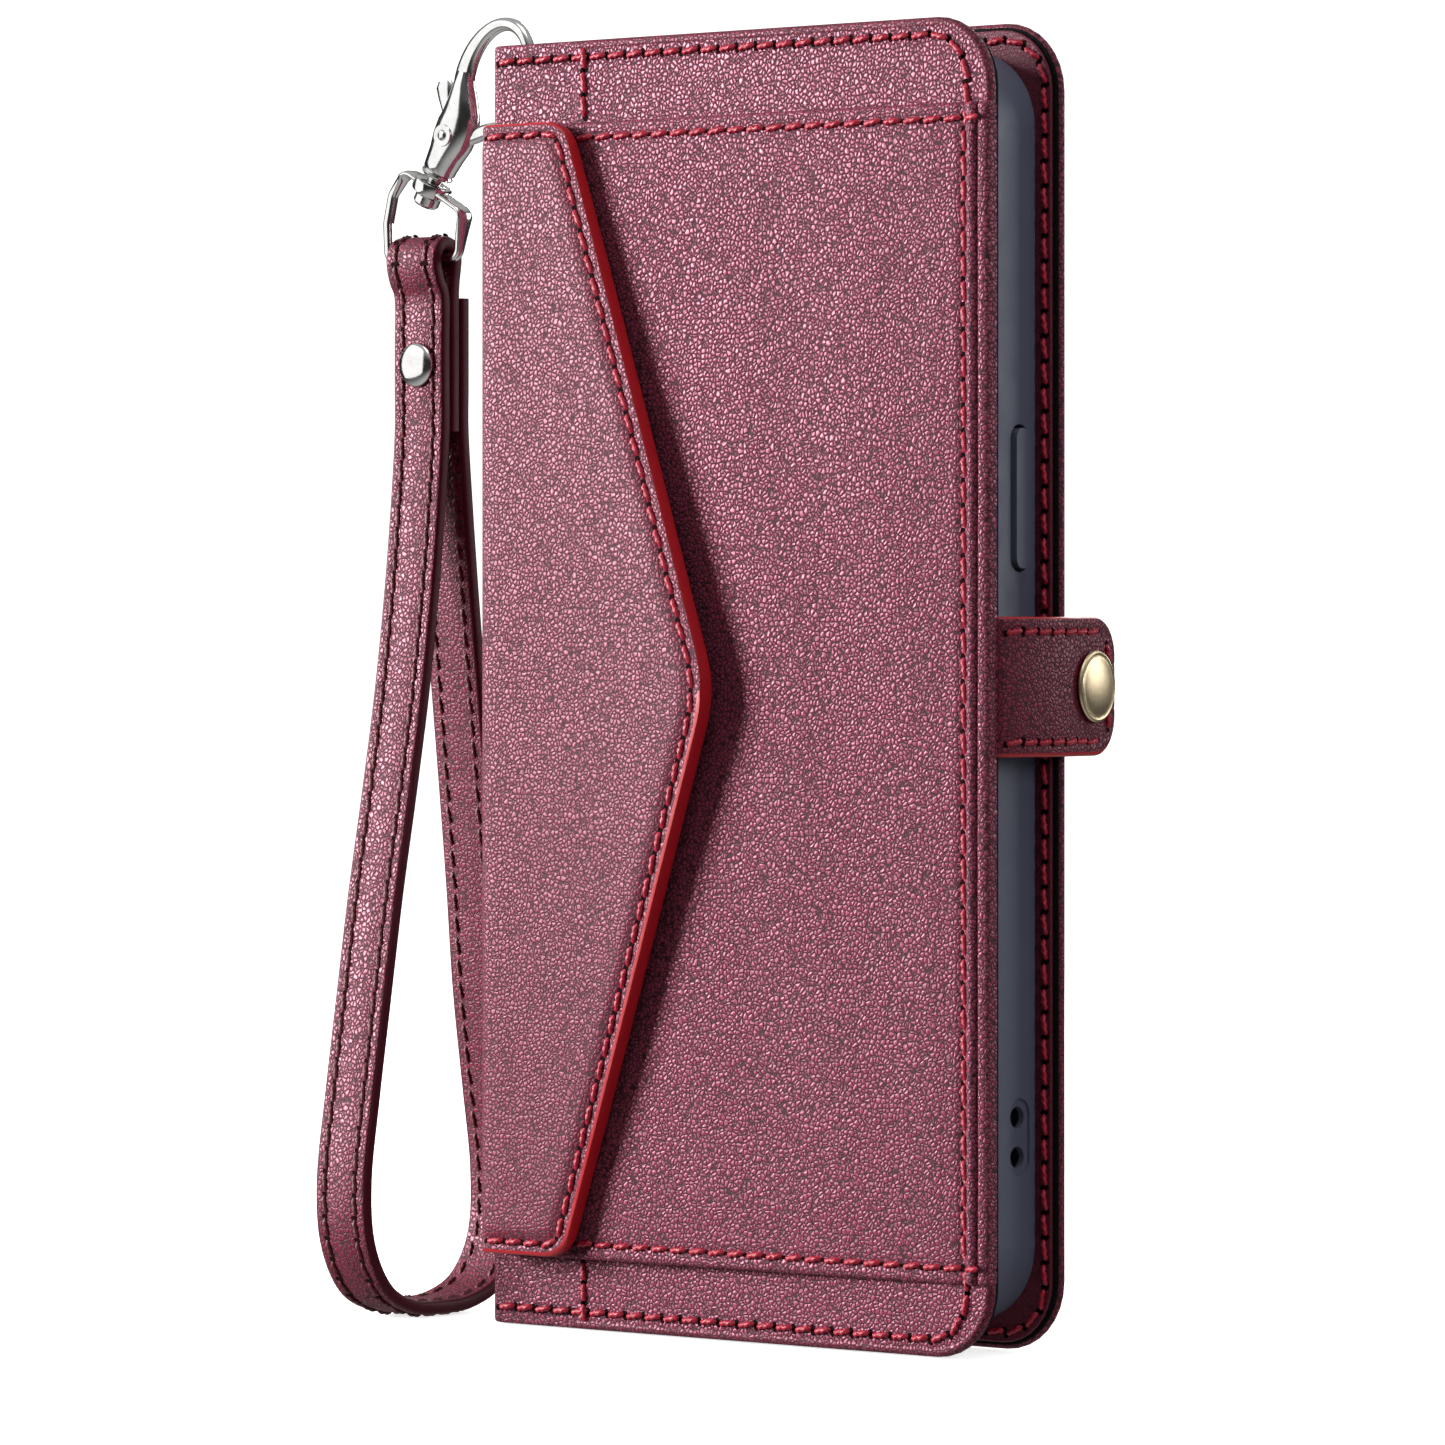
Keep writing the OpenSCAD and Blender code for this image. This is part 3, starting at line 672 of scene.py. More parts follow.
lining_span = even(0.4, COVER_H - 0.4)
inner = ribbon("spine_lining_front", inner_fold(6.4, LINING_Y + 0.16, 1.3, 1)[::-1], UP, 0.3,
               lining_span, [LINING, LINING, LINING], r=0.12)
place(inner, replaces=["spine_lining"],
      blend=("front_cover", "spine", (2.6, LINING_Y, 0), (0.8, LINING_Y + 2.2, 0)))
inner = ribbon("spine_lining_back", inner_fold(5.4, SHELL_BACK + 0.2, 1.3, -1), UP, 0.3,
               lining_span, [LINING, LINING, LINING], r=0.12)
place(inner,
      blend=("back_cover", "spine", (2.6, SHELL_BACK, 0), (0.8, SHELL_BACK - 2.0, 0)))


stitches("stitch_front_edge", edge_run(1.8, 2.3, 81.2, 6.0, -0.3), FRONT, "front_cover")
stitches("stitch_back_edge", edge_run(2.0, 2.3, 82.6, 7.0, CASE_T - 0.02), BACK, "back_cover",
         thread=0.25)
stitches("stitch_back_inner", edge_run(3.0, 2.3, 82.9, 6.6, SHELL_BACK), FRONT, "back_cover")
stitches("stitch_front_inner", edge_run(7.0, 2.9, 81.6, 6.2, LINING_Y + 0.3), BACK, "front_cover")
for tag, z0, z1 in (("low", 0.8, 9.0), ("high", 159.6, 169.2)):
    stitches(f"stitch_seam_{tag}", [(17.0, -0.3, z0), (17.0, -0.3, z1)], FRONT, "front_cover")

# ---------------------------------------------------------------- inner pockets

POCKET_T, POCKET_GAP = 0.25, 0.03


def pocket(name, layer, x0, z0, x1, z1, node):
    y = LINING_Y + 0.3 + POCKET_GAP + layer * (POCKET_T + POCKET_GAP)
    obj = slab(name, [rounded_rect(x0, z0, x1, z1, (0.6, 2.5, 2.5, 0.6), 5)], y, y + POCKET_T,
               LINING, 0.11)
    place(obj, "front_cover", [node])
    return y + POCKET_T


top = pocket("cash_pocket_sheet", 0, 14, 5, 82, 165, "cash_pocket")
stitches("stitch_cash", [(15.5, top, 7), (80.2, top, 7), (80.2, top, 163), (15.5, top, 163)],
         BACK, "front_cover", thread=0.2, pitch=2.8)
for layer, x0 in enumerate((22, 34, 46), start=1):
    top = pocket(f"card_pocket_sheet_{layer}", layer, x0, 39, 80.5, 131, f"card_pocket_{layer}")
    stitches(f"stitch_card_{layer}", [(x0 + 1.4, top, 40.2), (x0 + 1.4, top, 129.8)], BACK,
             "front_cover", thread=0.16, pitch=2.6)
stitches("stitch_card_frame", [(47.5, top, 40.6), (79, top, 40.6), (79, top, 129.4),
                               (47.5, top, 129.4)], BACK, "front_cover", thread=0.2, pitch=2.8)

# ---------------------------------------------------------------- pouch

POUCH_X0, POUCH_X1 = 3.9, 84.6
POUCH_Z0, POUCH_Z1 = 9.4, 159.0
POUCH_MOUTH, POUCH_THIN = 3.0, 1.1
HEM = 2.1


def smoothstep(a, b, x):
    t = max(0.0, min(1.0, (x - a) / (b - a)))
    return t * t * (3 - 2 * t)


def pouch_height(x, z):
    """How far the pouch's front stands out from the cover at x and z."""
    line = POUCH_MOUTH + (POUCH_THIN - POUCH_MOUTH) * (x - POUCH_X0) / (POUCH_X1 - POUCH_X0)
    h = line - 0.12
    h += (0.95 - h) * smoothstep(75.5, 80.5, x)
    edge = min(z - POUCH_Z0, POUCH_Z1 - z)
    h -= 0.16 * math.exp(-(((edge - HEM) / 0.6) ** 2))
    h -= 0.3 * math.exp(-(((x - 80.9) / 0.7) ** 2))
    h += 0.3 * math.exp(-(((x - 82.25) / 0.55) ** 2))
    h -= 0.45 * math.exp(-(((x - 83.15) / 0.22) ** 2))
    h += 0.12 * math.exp(-(((x - 83.9) / 0.4) ** 2))
    h += 0.16 * smoothstep(3.0, 10.0, edge) * (1 - smoothstep(66, 79, x))
    h += 0.09 * math.sin(x * 0.11 + 0.7) * math.sin(z * 0.07) * smoothstep(4, 14, edge)
    inner = smoothstep(5, 14, edge) * (1 - smoothstep(70, 80, x))
    h += 0.07 * math.sin(x * 0.31 + z * 0.052) * inner
    return h


def pouch_front():
    xs = sorted(set(
        list(np.linspace(POUCH_X0, 74, 40)) + list(np.linspace(74.5, 84.3, 50))))
    zs = [0.7, 1.0, 1.3, 1.6, 1.85, 2.1, 2.35, 2.6, 3.0, 3.6, 4.5, 6, 8]
    zs += list(np.linspace(10.5, 74.8, 36))
    lower = [POUCH_Z0 + v for v in zs]
    zs = lower + [POUCH_Z1 - v for v in zs[::-1]]
    r = 0.7
    verts, faces = [], []

    def column(x, drop):
        points = []
        h = pouch_height(x, POUCH_Z0 + r) - drop
        arcs = [math.radians(a) for a in (0, 25, 50, 72)]
        rim = [(-max(h - r + r * math.sin(a), 0.0), r - r * math.cos(a)) for a in arcs]
        points.append((x, 0.0, POUCH_Z0))
        points += [(x, y, POUCH_Z0 + up) for y, up in rim]
        points += [(x, -(pouch_height(x, z) - drop), z) for z in zs]
        points += [(x, y, POUCH_Z1 - up) for y, up in rim[::-1]]
        points.append((x, 0.0, POUCH_Z1))
        return points

    columns = [column(x, 0.0) for x in xs]
    last = xs[-1]
    for k in range(1, 8):
        a = math.radians(90 * k / 7)
        columns.append(column(last + 0.75 * math.sin(a), 0.75 * (1 - math.cos(a))))
    columns.append([(last + 0.75, 0.95 if p[1] < -0.05 else p[1], p[2]) for p in columns[-1]])
    lip, mouth = (
        [(p[0] + move, min(0.0, p[1] + back) if abs(p[1]) > 0 else 0.0, p[2]) for p in columns[0]]
        for move, back in ((-0.05, 0.4), (0.5, 0.8)))
    deep = [(p[0] + 14, p[1] * 0.86, p[2]) for p in mouth]
    columns = [deep, mouth, lip] + columns
    n = len(columns[0])
    for c in columns:
        verts += c
    for i in range(len(columns) - 1):
        for j in range(n - 1):
            a = i * n + j
            faces.append((a, a + n, a + n + 1, a + 1))
    return make("pouch_front_leather", verts, faces, [SHEEN_LEATHER], angle=60)


place(pouch_front(), "front_cover", ["pouch_front", "pouch_keeper"])
place(slab("pouch_back_sheet", [rounded_rect(4.3, 10.4, 83.2, 158, (0, 0, 0, 0))], -0.4, 0, LINING,
           0.12), "front_cover", ["pouch_back"])


def pouch_run(points):
    return [Vector((x, -pouch_height(x, z), z)) for x, z in points]


for tag, z in (("low", POUCH_Z0 + HEM), ("high", POUCH_Z1 - HEM)):
    stitches(f"stitch_pouch_{tag}", pouch_run([(x, z) for x in np.linspace(4.5, 84, 60)]), FRONT,
             "front_cover")
stitches("stitch_pouch_side",
         pouch_run([(81.2, z) for z in np.linspace(POUCH_Z0 + 3.4, POUCH_Z1 - 3.4, 60)]), FRONT,
         "front_cover")

# ---------------------------------------------------------------- flap

FLAP_LOW, TIP_Z = 9.7, 84.4
FLAP_OUT = -5.0
FLAP_T = 1.8
FLAP_X = 2.4
FLAP_CORNER, FLAP_TIP = 17.4, 43.1
SLANT = math.atan2(TIP_Z - FLAP_LOW, FLAP_TIP - FLAP_CORNER)


def flap_chain(inset):
    """Half of the flap's outline, moved in from its edge: along the low end and out to the tip."""
    low = FLAP_LOW + inset
    corner = (FLAP_CORNER - inset * math.tan(SLANT / 2), low)
    point = (FLAP_TIP - inset / math.sin(SLANT), TIP_Z)
    far = (corner[0], 2 * TIP_Z - low)
    chain = [Vector((-20, low))] + fillet((-20, low), corner, point, max(4.4 - inset, 1.2))
    return chain + fillet(corner, point, far, max(16 - inset, 4), 16)[:9]


FLAP_INSETS = (0.56, 0.7, 0.9, 1.1, 1.3, 1.5, 1.7, 1.9, 2.15, 2.5, 3.0, 3.6, 4.6, 6.0)
edge_chain = flap_chain(0.0)
inset_chains = [flap_chain(d) for d in FLAP_INSETS]
FLAP_END = edge_chain[-1].x
edge_points = np.array([(p.x, p.y) for p in edge_chain])


def from_edge(x, z):
    """Distance from a point on the flap to its nearest edge, using its symmetry about the tip."""
    p = np.array((x, TIP_Z - abs(z - TIP_Z)))
    a, b = edge_points[:-1], edge_points[1:]
    t = np.clip(((p - a) * (b - a)).sum(1) / ((b - a) ** 2).sum(1), 0, 1)
    return float(np.sqrt(((a + (b - a) * t[:, None] - p) ** 2).sum(1)).min())


def flap_swell(d):
    """Height of the flap's face above its rim at a distance from the edge: groove, then pad."""
    return 0.3 * smoothstep(1.9, 3.6, d) - 0.2 * math.exp(-(((d - 1.7) / 0.5) ** 2))


def chain_z(chain, x):
    if x >= chain[-1].x:
        return TIP_Z
    return float(np.interp(x, [p.x for p in chain], [p.y for p in chain]))


def flap_lift(x):
    """How far the unfastened flap springs away from the pouch."""
    return 1.3 * max(0.0, (x - 9) / 32) ** 1.7


def flap_path(depth):
    """Centre line of one flap layer, from the cover over the fold to the tip."""
    x = FLAP_X + depth
    y = FLAP_OUT + depth
    r = 1.3 - depth * 0.6
    path = [Vector((x + 1.5, -0.25, 0)), Vector((x + 0.35, -0.55, 0)), Vector((x, -1.2, 0)),
            Vector((x, -2.0, 0)), Vector((x, -2.9, 0))]
    path += [Vector((p.x, p.y, 0)) for p in fillet((x, -2.9), (x, y), (20, y), r, 6)]
    xs = list(np.linspace(4.6, 16.6, 9)) + list(np.linspace(16.9, 22, 18))
    xs += list(np.linspace(23, FLAP_END - 1.6, 22))
    xs += [FLAP_END - v for v in (1.2, 0.8, 0.5, 0.25, 0.1, 0.03)]
    return path + [Vector((v, y - flap_lift(v), 0)) for v in xs if v > x + r + 0.1]


path = flap_path(FLAP_T / 2)


def flap_ring(i):
    """Cross-section of the flap at one station of its path, from the low edge to the high edge."""
    x = max(path[i].x, 3.0)
    edge = chain_z(edge_chain, x)
    half = max(TIP_Z - edge, 0.3)
    h = FLAP_T / 2
    back = h + 0.45 * smoothstep(12, 26, x)
    low = []
    for rank, chain in enumerate(inset_chains):
        z = min(chain_z(chain, x), TIP_Z - 0.01 * (20 - rank))
        low.append(max(z, TIP_Z - half + 0.01 * (rank + 1)))
    first = low[-1]
    low += [first + (TIP_Z - first) * k / 6 for k in range(1, 6)]
    face = low + [TIP_Z] + [2 * TIP_Z - z for z in low[::-1]]
    ring = [(z, h + flap_swell(from_edge(x, z)) * smoothstep(2.6, 5, path[i].x), 0) for z in face]
    r = min(0.56, half * 0.5)
    turns = [math.radians(v) for v in (60, 30, 0)]
    rim = [(r * (1 - math.cos(a)), r * (1 - math.sin(a))) for a in turns]
    top = TIP_Z + half
    bottom = TIP_Z - half
    ring += [(top - u, h - v, 2) for u, v in rim]
    ring += [(top - u, -back + v, 2) for u, v in rim[::-1]]
    ring += [(top - r, -back, 1), (bottom + r, -back, 2)]
    ring += [(bottom + u, -back + v, 2) for u, v in rim]
    ring += [(bottom + u, h - v, 2) for u, v in rim[::-1]]
    return ring


flap = ribbon("flap_leather", path, UP, FLAP_T, None, [LEATHER, LINING, EDGE], rings=flap_ring)
place(flap, replaces=["flap_outer", "flap_lining", "flap_magnet"],
      blend=("front_cover", "flap", (2.85, -0.3, 0), (2.85, -2.0, 0)))

half_line = [p for p in flap_chain(1.7) if p.x > 0]
half_line = [Vector((3.8, half_line[0].y))] + half_line
half_line += [Vector((p.x, 2 * TIP_Z - p.y)) for p in half_line[-2::-1]]
flap_line = []
for a, b in zip(half_line, half_line[1:]):
    n = max(1, int((b - a).length / 3))
    flap_line += [a.lerp(b, k / n) for k in range(n)]
flap_line.append(half_line[-1])
flap_line = [Vector((p.x, FLAP_OUT + 0.12 - flap_lift(p.x), p.y)) for p in flap_line]
stitches("stitch_flap", flap_line, FRONT, "flap")

# ---------------------------------------------------------------- shell and buttons

soften("phone_shell", 0.35, SHELL)
for name in ("power_button", "volume_up", "volume_down"):
    soften(name, 0.28, SHELL)

# ---------------------------------------------------------------- closing tab

TAB_T = 1.2
HINGE = Vector((COVER_W + 0.4, LEATHER_T + BOARD_T / 2))
CORNER = Vector((COVER_W + 0.45, CASE_T + 0.55))
BULGE, LEAN, END_LEAN = 1.0, math.radians(8), math.radians(13)
arc_end = CORNER + TAB_T / 2 * Vector((math.cos(END_LEAN), math.sin(END_LEAN)))
chord = arc_end - HINGE
half_chord = chord.length / 2
arc_r = (half_chord**2 + BULGE**2) / (2 * BULGE)
sweep = math.asin(half_chord / arc_r)
aim = math.atan2(chord.y, chord.x) - math.pi / 2
arc_centre = (HINGE + arc_end) / 2 - (arc_r - BULGE) * Vector((math.cos(aim), math.sin(aim)))
base_arc = [
    arc_centre + arc_r * Vector((math.cos(aim + sweep * k), math.sin(aim + sweep * k)))
    for k in np.linspace(-0.72, 1, 22)
]
tip_dir = Vector((-math.sin(LEAN), math.cos(LEAN)))
tip_out = Vector((math.cos(LEAN), math.sin(LEAN)))
tip_start = CORNER + tip_out * TAB_T / 2
TIP_LEN = 9.0


def flat(points):
    return [Vector((p[0], p[1], MID_Z)) for p in points]


root = [(78, 1.4), (81, 1.4), (83.6, 1.4), (84.4, 1.42), (84.9, 1.55), (85.3, 1.9), (85.55, 2.4)]
tab_low = flat(root + [tuple(p) for p in base_arc[:11]])
TIP_STEPS = (0.5, 1.2, 2.4, 3.4, 4.4, 4.8, 5.3, 5.8, 6.4, 7.0, 7.5, 8.0, 8.35, 8.65, 8.85, TIP_LEN)
tab_high = flat([tuple(p) for p in base_arc[10:]]
                + [tuple(tip_start + tip_dir * s) for s in TIP_STEPS])
TIP_FIRST = len(tab_high) - len(TIP_STEPS)


def tip_span(i):
    if i < TIP_FIRST:
        return -TAB_H / 2, TAB_H / 2
    s = (tab_high[i].to_2d() - tip_start).length
    r = 4.5
    over = max(0.0, s - (TIP_LEN - r))
    cut = r - math.sqrt(max(r * r - over * over, 0.04))
    return -TAB_H / 2 + cut, TAB_H / 2 - cut


TAB_MATS = [LEATHER, LINING, EDGE]
BASE_BLEND = ("front_cover", "tab_base", (84.3, 0.9, 0), (85.8, 3.0, 0))
bend_start = base_arc[-4]
bend_end = tip_start + tip_dir * 1.0
TIP_BLEND = ("tab_base", "tab_tip", (*bend_start, MID_Z), (*bend_end, MID_Z))
piece = ribbon("tab_base_leather", tab_low, UP, TAB_T, even(-TAB_H / 2, TAB_H / 2), TAB_MATS,
               r=0.52, groove=(1.9, 0.08, 0.5))
place(piece, replaces=["tab_root", "tab_base"], blend=BASE_BLEND)
piece = ribbon("tab_tip_leather", tab_high, UP, TAB_T, tip_span, TAB_MATS, r=0.52,
               groove=(1.9, 0.08, 0.5))
place(piece, replaces=["tab_tip"], blend=TIP_BLEND)


def tab_run(points, side):
    """Stitch line on the tab's outer face, near one long edge."""
    normals = frames(points, UP)
    z = side * (TAB_H / 2 - 1.9)
    return [p + n * (TAB_T / 2 - 0.05) + UP * z for p, n in zip(points, normals)], normals


for tag, side in (("low", -1), ("high", 1)):
    line, normals = tab_run(tab_low[5:], side)
    stitches(f"stitch_tab_base_{tag}", line, normals, None, pitch=2.9, thread=0.3,
             blend=BASE_BLEND)
    line, normals = tab_run(tab_high[:TIP_FIRST + 6], side)
    stitches(f"stitch_tab_tip_{tag}", line, normals, None, pitch=2.9, thread=0.3,
             blend=TIP_BLEND)


def tip_point(out, s, z):
    p = CORNER + tip_out * out + tip_dir * s
    return Vector((p.x, p.y, MID_Z + z))


end_run = [tip_point(TAB_T - 0.02, 7.1, z) for z in np.linspace(-5.6, 5.6, 8)]
stitches("stitch_tab_end", end_run, (tip_out.x, tip_out.y, 0), "tab_tip", pitch=2.9, thread=0.3)

SNAP_AT = 3.3
cap_at = tip_point(TAB_T, SNAP_AT, 0)
out_axis = Vector((tip_out.x, tip_out.y, 0))
dome = [(4.6 * math.cos(a), 0.62 + 1.05 * math.sin(a)) for a in np.linspace(0.62, math.pi / 2, 12)]
cap_profile = [(2.2, 0), (2.2, 0.3), (4.3, 0.3), (4.56, 0.42), (4.6, 0.6), (4.5, 0.78),
               (4.28, 0.88), (4.08, 0.84), (3.98, 0.76), (3.86, 0.86)]
cap_profile += [(r * 0.985, h - 0.35) for r, h in dome if r * 0.985 < 3.8]
turned("snap_cap_turned", cap_profile, cap_at, out_axis, "tab_tip", ["snap_cap"], "snap_brass")
socket_at = tip_point(0, SNAP_AT, 0)
turned("snap_socket_turned",
       [(1.3, 0.5), (1.55, 0.44), (1.6, 0.1), (1.75, 0.0), (2.1, -0.03), (2.5, 0.02), (2.64, 0.2),
        (2.64, 0.68)], socket_at, out_axis, "tab_tip", ["snap_socket"], "snap_brass")
stud_at = Vector((CORNER.x - SNAP_AT, CASE_T, MID_Z))
turned("snap_stud_turned",
       [(2.6, 0.0), (2.6, 0.12), (2.45, 0.2), (1.5, 0.22), (1.05, 0.25), (1.0, 0.32), (1.08, 0.4),
        (1.0, 0.47), (0.7, 0.49), (0.0, 0.49)], stud_at, BACK, "back_cover", ["snap_stud"],
       "snap_brass")

# ---------------------------------------------------------------- eyelet and clasp

CLASP_DEPTH = 4.6
EYELET = Vector((0, CLASP_DEPTH, 162.5))
turned("eyelet_turned",
       [(2.75, 0.05), (2.8, -0.12), (3.0, -0.25), (3.2, -0.2), (3.35, -0.04), (3.35, 0.02),
        (2.98, 0.02), (2.98, 1.2), (3.35, 1.2), (3.35, 1.28), (3.2, 1.42), (3.0, 1.45), (2.8, 1.34),
        (2.75, 1.2), (2.75, 0.05)], EYELET, RIGHT, "spine", ["spine_eyelet"])

PIN = Vector((-10.6, CLASP_DEPTH, 158.7))
TILT = math.radians(30)
CLASP_X = Vector((math.cos(TILT), 0, -math.sin(TILT)))
CLASP_Y = Vector((math.sin(TILT), 0, math.cos(TILT)))


def clasp(x, y, depth=0.0):
    return PIN + CLASP_X * x + CLASP_Y * y + Vector((0, depth, 0))


hook = []
for k, a in enumerate(np.linspace(238, -42, 46)):
    t = math.radians(a)
    fat = 0.88 + 0.9 * smoothstep(0.5, 1.0, 1 - k / 45) - 0.2 * smoothstep(0.9, 1.0, k / 45)
    hook.append((clasp(2.9 + 5.4 * math.cos(t), 10.5 + 7.4 * math.sin(t)), fat, min(fat, 0.9)))
cast("clasp_hook_cast", hook, "clasp", ["clasp_hook"], power=2.2)
body_sections = [
    (clasp(x, y), w, d) for x, y, w, d in (
        (0, -5.5, 1.9, 1.7), (0, -5.2, 2.35, 2.0), (0, -4.4, 2.4, 2.1), (0.1, -2.6, 2.65, 2.2),
        (0.15, -0.6, 3.2, 2.25), (0.1, 1.6, 3.3, 2.2), (-0.2, 3.4, 2.9, 2.05),
        (-0.9, 5.2, 2.25, 1.85), (-1.7, 7.0, 1.6, 1.5), (-2.2, 8.6, 1.2, 1.15))
]
cast("clasp_body_cast", body_sections, "clasp", power=2.1, sides=40)
turned("clasp_collar",
       [(0, -6.2), (1.6, -6.2), (2.15, -6.0), (2.3, -5.7), (2.15, -5.4), (1.6, -5.2), (0, -5.2)],
       PIN, CLASP_Y, "clasp")
turned("clasp_pin_turned",
       [(0, -2.62), (0.55, -2.58), (0.75, -2.4), (1.1, -2.5), (1.45, -2.42), (1.5, -2.25),
        (1.5, -2.15), (0.8, -2.1), (0.8, 2.1), (1.5, 2.15), (1.5, 2.25), (1.45, 2.42), (1.1, 2.5),
        (0.75, 2.4), (0.55, 2.58), (0, 2.62)], PIN, BACK, "clasp", ["clasp_pin", "gate_spring"],
       angle=45)
gate = [
    (clasp(x, y, 0.1), w, d) for x, y, w, d in (
        (6.5, 4.75, 0.5, 0.45), (6.2, 4.4, 0.9, 0.65), (5.2, 3.5, 1.05, 0.7), (3.4, 1.9, 1.15, 0.7),
        (1.6, 0.5, 1.3, 0.7), (0.2, -0.1, 1.45, 0.7), (-1.2, 1.0, 1.25, 0.7),
        (-2.6, 2.6, 1.05, 0.7), (-3.9, 4.1, 1.4, 0.72), (-4.7, 5.1, 1.55, 0.75),
        (-5.1, 5.7, 1.1, 0.6))
]
cast("gate_lever_cast", gate, "gate", ["gate_lever"], power=2.2, sides=32)
turned("swivel_post_turned",
       [(0, -5.9), (1.0, -5.9), (1.0, -8.72), (1.55, -8.8), (1.8, -9.05), (1.8, -10.1),
        (1.5, -10.45), (0.9, -10.6), (0, -10.6)], PIN, CLASP_Y, "clasp", ["swivel_post"])

RING_Z, RING_WIRE = 142.4, 0.7
left, right = clasp(-5, -7.8), clasp(7, -7.8)
ring_corners = [(left.x, left.z), (-21.6, 151.2), (-22.5, 147.4), (-22.3, RING_Z), (-9.9, RING_Z),
                (right.x, right.z)]
ring = []
for i, c in enumerate(ring_corners):
    ring += fillet(ring_corners[i - 1], c, ring_corners[(i + 1) % 6], 1.3 if i > 2 else 1.9, 5)
wire = []
for i, p in enumerate(ring):
    off_bar = abs((p - left.xz).dot(Vector((CLASP_Y.x, CLASP_Y.z))))
    flat_part = 1 - smoothstep(0.5, 2.2, off_bar)
    wire.append((Vector((p.x, CLASP_DEPTH, p.y)), RING_WIRE - 0.22 * flat_part,
                 RING_WIRE + 0.8 * flat_part))
cast("d_ring_wire", wire, "d_ring", ["d_ring"], power=2.4, sides=24, closed=True)
turned("d_ring_eye",
       [(1.1, -6.9), (2.3, -6.9), (2.62, -7.05), (2.7, -7.3), (2.7, -8.3), (2.6, -8.6), (2.2, -8.7),
        (1.1, -8.7), (1.1, -6.9)], PIN, CLASP_Y, "d_ring")

# ---------------------------------------------------------------- wrist strap

STRAP_W, STRAP_T, STRAP_X, RIVET_Z = 9.0, 1.8, -16.0, 128.0
RIVET_AT = (STRAP_X, 3.3, RIVET_Z)
ROUTE = [
    (6.1, 119), (6.1, 125), (6.1, 131), (6.1, 137), (6.25, 139.3), (6.5, 141), (6.6, 142.4),
    (6.01, 143.81), (4.6, 144.4), (3.19, 143.81), (2.6, 142.4), (2.68, 141), (3.2, 139.3),
    (4.2, 137), (4.2, 131), (4.2, 125), (4.2, 119), (3.5, 110), (2.2, 98), (0.2, 84),
    (-2.4, 70), (-5, 57), (-7.4, 43), (-9.6, 30), (-11.2, 19), (-10.6, 10.5), (-7.2, 4.2),
    (-2, 1.5), (4, 1), (10, 1.5), (15.4, 4), (19, 10), (19.4, 19), (17.8, 30), (15.9, 43),
    (14.6, 57), (13.2, 70), (11.6, 84), (10, 98), (8.8, 110), (8.05, 119), (8.05, 125),
    (8.05, 131), (8.05, 137),
]
route = catmull([(STRAP_X, y, z) for y, z in ROUTE], 6)


strap = ribbon("strap_leather", route, RIGHT, STRAP_T, even(-STRAP_W / 2, STRAP_W / 2),
               [LEATHER, LEATHER, DARK_EDGE], r=0.5, groove=(1.8, 0.16, 0.5))
place(strap, "strap", ["strap_loop"])
side_normals = frames(route, RIGHT)
for tag, face, first, last in (("outer", 1, 6, -1), ("inner", -1, 40, len(route) - 20)):
    for end, side in (("left", -1), ("right", 1)):
        line = [p + n * (face * (STRAP_T / 2 - 0.08)) + RIGHT * (side * (STRAP_W / 2 - 1.8))
                for p, n in zip(route, side_normals)][first:last]
        stitches(f"stitch_strap_{tag}_{end}", line, [n * face for n in side_normals][first:last],
                 "strap", pitch=3.0, thread=0.26, color=DARK_THREAD)
dome = [(3.0 * math.cos(a), 0.3 + 0.95 * math.sin(a)) for a in np.linspace(0.1, math.pi / 2, 12)]
turned("rivet_cap_turned", [(2.7, 0), (2.95, 0.1), (3.0, 0.3)] + dome, RIVET_AT, FRONT, "strap",
       ["strap_rivet_cap"])
turned("rivet_back_turned",
       [(0, 0), (0.9, 0), (0.9, 5.65), (2.8, 5.66), (3.0, 5.8), (2.95, 6.0), (2.6, 6.18),
        (1.2, 6.25), (0.5, 6.1), (0, 6.05)], RIVET_AT, BACK, "strap", ["strap_rivet_back"])

# ---------------------------------------------------------------- floor and light


def stage(name, corners, faces, material):
    """Part of the studio: seen behind the object, but lights nothing and isn't reflected."""
    mesh = bpy.data.meshes.new(name)
    mesh.from_pydata(corners, [], faces)
    mesh.materials.append(material)
    obj = bpy.data.objects.new(name, mesh)
    bpy.context.scene.collection.objects.link(obj)
    obj.visible_diffuse = False
    obj.visible_glossy = False


def paper(name, near, far):
    """White studio paper whose own glow grows from near the object outwards."""
    g = Graph(name)
    where = g.coords()
    speck = g.noise(where, 40.0, 3.0)
    away = g.add("ShaderNodeVectorMath", operation="LENGTH")
    g.link(where, away.inputs[0])
    glow = g.remap(away.outputs["Value"], 0.3, 1.2, near, far)
    g.link(glow, g.shader.inputs["Emission Strength"])
    return g.finish(
        g.mix(speck.outputs["Fac"], (0.87, 0.87, 0.87), (0.9, 0.9, 0.9)), 0.8,
        Emission_Color=(1, 1, 1, 1))


def cyclorama(radius, height, steps=48):
    """Round white studio wall, far out, so that every view has the same plain background."""
    around = [2 * math.pi * k / steps for k in range(steps)]
    low = [(radius * math.cos(a), radius * math.sin(a), base_z) for a in around]
    corners = low + [(x, y, height) for x, y, _ in low] + [(0, 0, height * 1.4)]
    faces = [(k, (k + 1) % steps, steps + (k + 1) % steps, steps + k) for k in range(steps)]
    faces += [(steps + k, steps + (k + 1) % steps, 2 * steps) for k in range(steps)]
    return corners, faces


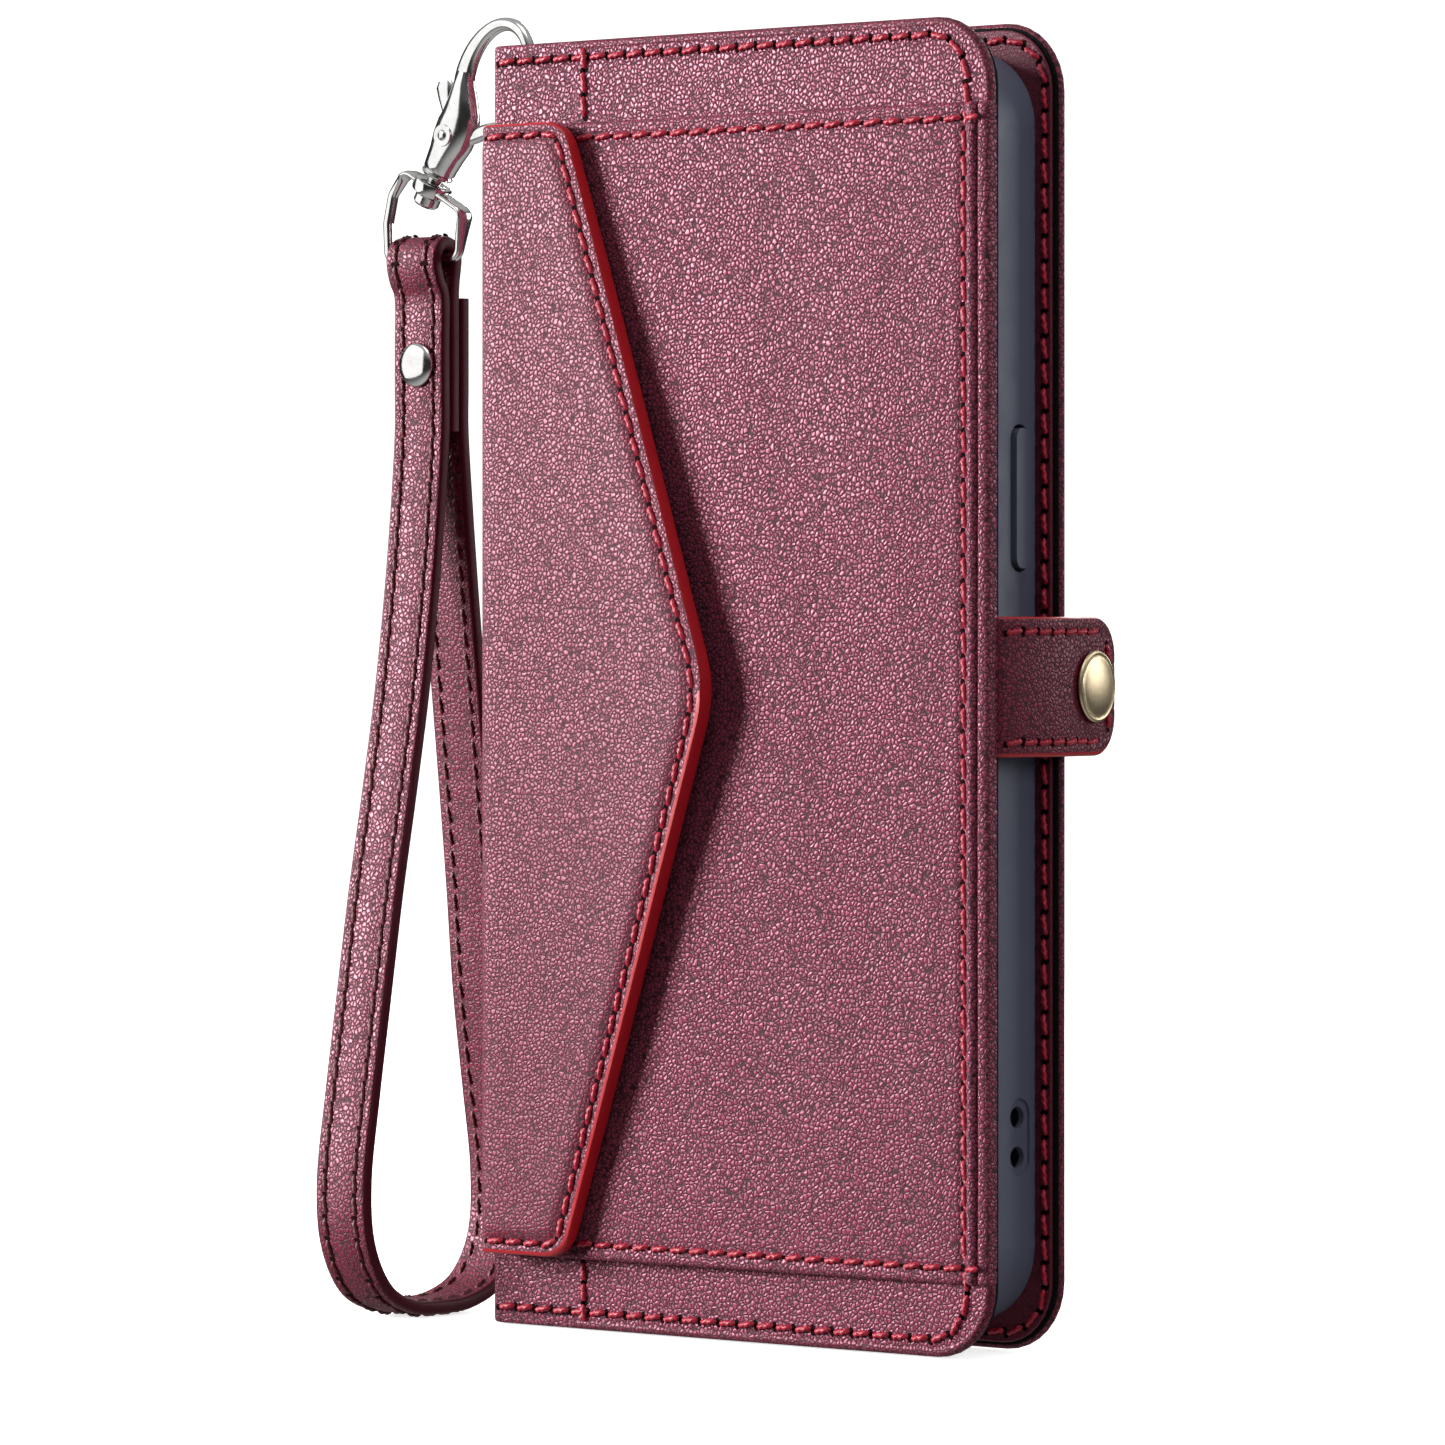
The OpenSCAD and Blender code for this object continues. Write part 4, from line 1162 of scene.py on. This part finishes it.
base_z = row((0, 0, 0)).z - 0.0002
wall_points, wall_faces = cyclorama(6.0, 5.0)
stage("wall", wall_points, wall_faces, paper("wall_paper", 1.1, 1.1))
stage("floor", [(-6, -6, base_z), (6, -6, base_z), (6, 6, base_z), (-6, 6, base_z)], [(0, 1, 2, 3)],
      paper("floor_paper", 0.72, 1.1))

world = bpy.data.worlds.new("studio")
bpy.context.scene.world = world
world.use_nodes = True
sky = world.node_tree
direction = sky.nodes.new("ShaderNodeTexCoord")
split = sky.nodes.new("ShaderNodeSeparateXYZ")
tall = sky.nodes.new("ShaderNodeMath")
tall.operation = "ABSOLUTE"
level = sky.nodes.new("ShaderNodeMapRange")
level.interpolation_type = "SMOOTHSTEP"
for key, number in zip(("From Min", "From Max", "To Min", "To Max"), (0.2, 0.75, 0.03, 0.5)):
    level.inputs[key].default_value = number
sky.links.new(direction.outputs["Generated"], split.inputs[0])
sky.links.new(split.outputs["Z"], tall.inputs[0])
sky.links.new(tall.outputs[0], level.inputs["Value"])
sky.links.new(level.outputs["Result"], sky.nodes["Background"].inputs["Strength"])
sky.nodes["Background"].inputs["Color"].default_value = (1, 1, 1, 1)


def area_light(name, direction, distance, size, power, height):
    """A square soft light, placed by its direction seen from the case and aimed at it."""
    data = bpy.data.lights.new(name, "AREA")
    data.shape = "SQUARE"
    data.size = size
    data.energy = power
    obj = bpy.data.objects.new(name, data)
    target = row((40, 7, 90))
    obj.location = target + Vector(direction).normalized() * distance + Vector((0, 0, height))
    obj.rotation_euler = (target - obj.location).to_track_quat("-Z", "Y").to_euler()
    bpy.context.scene.collection.objects.link(obj)
    obj.visible_camera = False
    return obj


def shine_on(light, pieces, state):
    """Limit a light to some pieces, or keep it off them, so that polished metal isn't burnt out."""
    group = bpy.data.collections.new(light.name + "_pieces")
    light.light_linking.receiver_collection = group
    for piece in pieces:
        group.objects.link(piece)
    for member in group.collection_objects:
        member.light_linking.link_state = state


metals = [obj for obj in bpy.context.scene.objects
          if obj.type == "MESH" and any(m in METALS.values() for m in obj.data.materials)]
shine_on(area_light("key", (-0.78, -0.63, 0), 1.2, 0.5, 34.0, 0.26), metals, "EXCLUDE")
shine_on(area_light("metal_fill", (-0.7, -0.72, 0), 1.2, 1.4, 8.5, 0.3), metals, "INCLUDE")
shine_on(area_light("side", (-1.0, -0.1, 0), 0.7, 0.2, 1.5, 0.2), metals, "EXCLUDE")
area_light("top", (0.3, -0.4, 0), 0.3, 0.5, 1.5, 0.8)
area_light("right", (0.95, -0.25, 0), 0.8, 0.3, 1.5, 0.25)
area_light("rear", (0.55, 0.85, 0), 0.9, 0.4, 2.2, 0.2)
area_light("back", (-0.35, 0.95, 0), 0.9, 0.4, 3.5, 0.3)

scene = bpy.context.scene
scene.view_settings.view_transform = "Standard"
scene.view_settings.look = "None"
